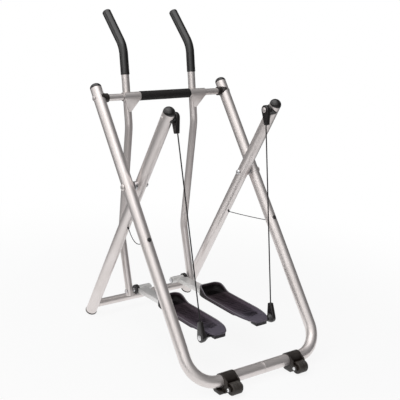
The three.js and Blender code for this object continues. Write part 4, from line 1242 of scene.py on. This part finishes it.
def marked(form):
    """Keeps on every point how far it is below the rim and behind the toe; the tray's finish places its painted
    shade, painted highlight and painted sheen by these.
    """
    for cut in plate_cuts:
        bmesh.ops.bisect_plane(
            form, geom=form.verts[:] + form.edges[:] + form.faces[:], dist=0.001,
            plane_co=(0, -plate_front - cut, 0), plane_no=(0, 1, 0),
        )
    back = form.verts.layers.float.new("back")
    depth = form.verts.layers.float.new("depth")
    for point in form.verts:
        point[back] = -plate_front - point.co.y
        point[depth] = rim_height(point[back]) - point.co.z
    return form


def bracket(side):
    """The pressed channel under the plate, open below, with the pivot's tube across its front."""
    end, knee, wall, half = bracket_end, bracket_rise_length, bracket_wall, bracket_half
    high, low = half + bracket_rise, bracket_rise - half
    centre = side * plate_centre
    cheek = [(2, half), (-knee, high), (-end, high), (-end, low), (-knee, low), (2, -half)]
    cheeks = []
    for face in (-1, 1):
        skins = centre + face * bracket_half_width, centre + face * (bracket_half_width - wall)
        cheeks.append(slab(cheek, min(skins), max(skins), 0.7))
    lid_outline = [
        (0, half), (-knee, high), (-end, high), (-end, high - wall), (-knee, high - wall), (0, half - wall),
    ]
    lid_half = bracket_half_width - 0.5
    lid = slab(lid_outline, centre - lid_half, centre + lid_half, 0.5)
    tube_profile = collar(10.5, pivot_tube, pivot_tube_inner, disc_inner - gap)
    tube = spun(tube_profile, (0, 0, 0), (side, 0, 0), 56)
    return merged(*cheeks, lid, tube)


def bush(side):
    """The nylon liner in the bracket's tube, with the thick disc between the tube and the arm."""
    profile = [
        (5.4, pivot_tube_inner), (10.1, pivot_tube_inner), (10.1, disc_inner),
        (disc_radius - 0.6, disc_inner), (disc_radius, disc_inner + 0.6), (disc_radius, disc_outer - 0.6),
        (disc_radius - 0.6, disc_outer), (5.4, disc_outer),
    ]
    return spun(closed(profile), (0, 0, 0), (side, 0, 0), 56)


def stub(side):
    """The pin across the plate's tail, which swells outside the plate into a cone up to the cable's eye."""
    start, shank = plate_centre - block_half, plate_centre + block_half + gap
    neck, outer = neck_x, cable_low_x - eye_half - gap
    profile = [
        (0, start), (stud_pin - 0.5, start), (stud_pin, start + 0.5), (stud_pin, shank),
        (stub_shank - 0.4, shank), (stub_shank, shank + 0.4), (stub_shank, neck),
        (stub_neck_radius - 0.4, neck), (stub_neck_radius, neck + 0.5), (stub_flare, outer - 0.8),
        (stub_flare - 0.7, outer), (0, outer),
    ]
    return spun(profile, (0, -stud_back, stud_rise), (side, 0, 0), 48)


widest = max(x for x, back in plate_outline(0) if back >= stud_back - plate_front - 11)
neck_x = plate_centre + widest + gap
for name, side in sides:
    place = foot_place[name]
    tray = marked(shifted(merged(plate_shell(), tail_block()), side * plate_centre))
    bars = marked(shifted(tread(), side * plate_centre))
    piece(f"foot_tray_{name}", tray, place, f"footplate_{name}", look=tray_painted_light_finish, sharp=math.radians(40))
    piece(f"foot_tread_{name}", bars, place, f"footplate_{name}", replaces=False, look=tray_painted_light_finish)
    piece(f"tray_bracket_{name}", bracket(side), place, f"footplate_bracket_{name}", look=bracket_paint)
    piece(f"pivot_liner_{name}", bush(side), place, f"foot_bush_{name}")
    piece(f"tail_pin_{name}", stub(side), place, f"cable_stub_{name}", look=glossy_boot)

# Suspension cables


def boot(x):
    """A moulded eye that narrows into a sleeve round the cable."""
    lean = math.asin((eye_radius - boot_end) / boot_length)
    angles = [-lean + (math.pi + 2 * lean) * i / 20 for i in range(21)]
    eye = [(eye_radius * math.cos(a), eye_radius * math.sin(a)) for a in angles]
    outline = [*eye, (-boot_end, -boot_length), (boot_end, -boot_length)]
    return slab(outline, x - eye_half, x + eye_half, 3.2, 4)


for name, side in sides:
    place = cable_place[name]
    piece(f"upper_eye_{name}", boot(side * eye_top_x), place, f"cable_upper_boot_{name}", look=glossy_boot)
    lower = place @ Matrix.Translation((0, 0, -cable_reach))
    turned_over = lower @ Matrix.Rotation(math.pi, 4, "X")
    piece(
        f"lower_eye_{name}", boot(side * cable_low_x), turned_over, f"cable_lower_boot_{name}",
        look=glossy_boot,
    )
    end = boot_length - boot_socket + gap
    rope = rod((side * cable_top_x, 0, -end), (side * cable_low_x, 0, end - cable_reach), cable_rope, 16)
    piece(f"long_cable_{name}", rope, place, f"cable_{name}")
    head_seat = (side * (cable_low_x + eye_half + gap), 0, 0)
    head = headed(
        pin_head, pin_head_height, head_seat, (side, 0, 0), shank=16, shank_radius=pin_radius, sides=40,
    )
    piece(f"lower_pin_{name}", head, lower, f"cable_bolt_{name}")

# Fold stays


def bowed(start, low, end, count=24):
    """Stations on a curve that hangs between two points."""
    shares = [i / count for i in range(count + 1)]
    points = [start * (1 - t) ** 2 + low * 2 * t * (1 - t) + end * t * t for t in shares]
    ahead = points[1:] + [points[-1] * 2 - points[-2]]
    behind = points[:1] + points[:-1]
    return [(point, (after - before).normalized()) for point, after, before in zip(points, ahead, behind)]


def stay(side, sag):
    """A slack wire: a plug in the front leg's back, and an eye round the rear leg's bolt."""
    def on_front(y):
        return front @ Vector((side * front_half_width, y, -stay_anchor_drop)) / metres

    def on_rear(y, z):
        return rear @ Vector((side * rear_half_width, y, z - stay_bolt_drop)) / metres

    tip = -frame_tube - stay_tip
    plug = rod(on_front(-frame_tube + 3), on_front(tip), 4, 24, 3.4)
    seat = frame_tube + gap
    axis = on_rear(seat + 4, 0) - on_rear(seat, 0)
    eye = spun(collar(3.9, 7.5, 0, 4, lead=0.5), on_rear(seat, 0), axis, 32)
    start, end = on_front(tip + 1.5), on_rear(seat + 2, 5.9)
    low = start.lerp(end, 0.5) - UPRIGHT * 2 * sag
    return merged(swept(bowed(start, low, end), stay_rope, 14), plug, eye)


for name, side, sag in (("left", -1, 27), ("right", 1, 1.5)):
    wire_piece = piece(f"fold_wire_{name}", stay(side, sag), Matrix.Scale(metres, 4), f"stay_cable_{name}")
    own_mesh(wire_piece)

# Floor, world and lamps


def show_mix(tree, output, share, first, second):
    """Sends a mix of two shaders to the tree's output; share is how much of the second is in it."""
    mix = tree.nodes.new("ShaderNodeMixShader")
    wire(tree, share, mix.inputs[0])
    wire(tree, first.outputs[0], mix.inputs[1])
    wire(tree, second.outputs[0], mix.inputs[2])
    wire(tree, mix.outputs[0], tree.nodes.new(output).inputs["Surface"])


def set_stage():
    """A pale floor that is white in the picture, keeps the shadow, and is dark far off in reflections."""
    material = bpy.data.materials.new("studio_floor")
    material.use_nodes = True
    tree = material.node_tree
    tree.nodes.clear()
    plain = node(tree, "ShaderNodeBsdfDiffuse", Color=(0.92, 0.92, 0.92, 1))
    bright = node(tree, "ShaderNodeEmission", Color=(1, 1, 1, 1))
    ray = tree.nodes.new("ShaderNodeLightPath")
    length = node(tree, "ShaderNodeVectorMath", operation="LENGTH")
    wire(tree, tree.nodes.new("ShaderNodeTexCoord").outputs["Object"], length.inputs[0])
    away = length.outputs["Value"]
    seen = math_of(tree, "MULTIPLY", ray.outputs["Is Camera Ray"], spread(tree, away, 0.6, 2.0, 0.88, 1.0))
    fading = spread(tree, away, 0.5, 1.9, 1.0, 0.14)
    mirrored = math_of(tree, "MULTIPLY", ray.outputs["Is Glossy Ray"], fading)
    wire(tree, math_of(tree, "ADD", ray.outputs["Is Camera Ray"], mirrored), bright.inputs["Strength"])
    share = math_of(tree, "MAXIMUM", seen, ray.outputs["Is Glossy Ray"])
    show_mix(tree, "ShaderNodeOutputMaterial", share, plain, bright)
    floor = bmesh.new()
    bmesh.ops.create_grid(floor, x_segments=1, y_segments=1, size=30)
    mesh = bpy.data.meshes.new("studio_floor")
    floor.to_mesh(mesh)
    floor.free()
    mesh.materials.append(material)
    thing = bpy.data.objects.new("studio_floor", mesh)
    thing.location.z = -0.0005
    bpy.context.scene.collection.objects.link(thing)


def set_world():
    """Soft light all round; in reflections it is a bright wall at the upper left in a dim room."""
    world = bpy.data.worlds.new("studio")
    bpy.context.scene.world = world
    world.use_nodes = True
    tree = world.node_tree
    tree.nodes.clear()
    ray = tree.nodes.new("ShaderNodeLightPath")
    facing = node(tree, "ShaderNodeVectorMath", operation="DOT_PRODUCT")
    wire(tree, tree.nodes.new("ShaderNodeTexCoord").outputs["Generated"], facing.inputs[0])
    facing.inputs[1].default_value = Vector((-0.85, -0.12, 0.52)).normalized()
    toward = facing.outputs["Value"]
    rising = spread(tree, toward, -0.25, 0.85, 0.1, 1.05)
    wall = math_of(tree, "MULTIPLY", rising, spread(tree, toward, 0.78, 0.92, 1.0, 0.04))
    soft = node(tree, "ShaderNodeBackground", Color=(0.97, 0.98, 1.0, 1), Strength=0.34)
    shown = node(tree, "ShaderNodeBackground", Color=(1, 1, 1, 1))
    plain = math_of(tree, "MAXIMUM", ray.outputs["Is Camera Ray"], ray.outputs["Is Transmission Ray"])
    mirrored = math_of(tree, "MULTIPLY", ray.outputs["Is Glossy Ray"], wall)
    wire(tree, math_of(tree, "ADD", plain, mirrored), shown.inputs["Strength"])
    share = math_of(tree, "MAXIMUM", plain, ray.outputs["Is Glossy Ray"])
    show_mix(tree, "ShaderNodeOutputWorld", share, soft, shown)


def lamp(name, place, target, size, power, color=(1, 1, 1)):
    """A rectangular area lamp that faces its target; places and sizes in metres, power in watts."""
    data = bpy.data.lights.new(name, "AREA")
    data.shape = "RECTANGLE"
    data.size, data.size_y = size
    data.energy = power
    data.color = color
    thing = bpy.data.objects.new(name, data)
    thing.location = place
    thing.rotation_euler = (Vector(target) - Vector(place)).to_track_quat("-Z", "Y").to_euler()
    bpy.context.scene.collection.objects.link(thing)


set_stage()
set_world()
lamp("key", (-3.4, -0.9, 3.2), (0, 0, 0.5), (4.8, 4.8), 84, (1.0, 0.99, 0.98))
lamp("top", (-0.6, 0.3, 4.2), (0, 0, 0.4), (4.2, 4.2), 42)
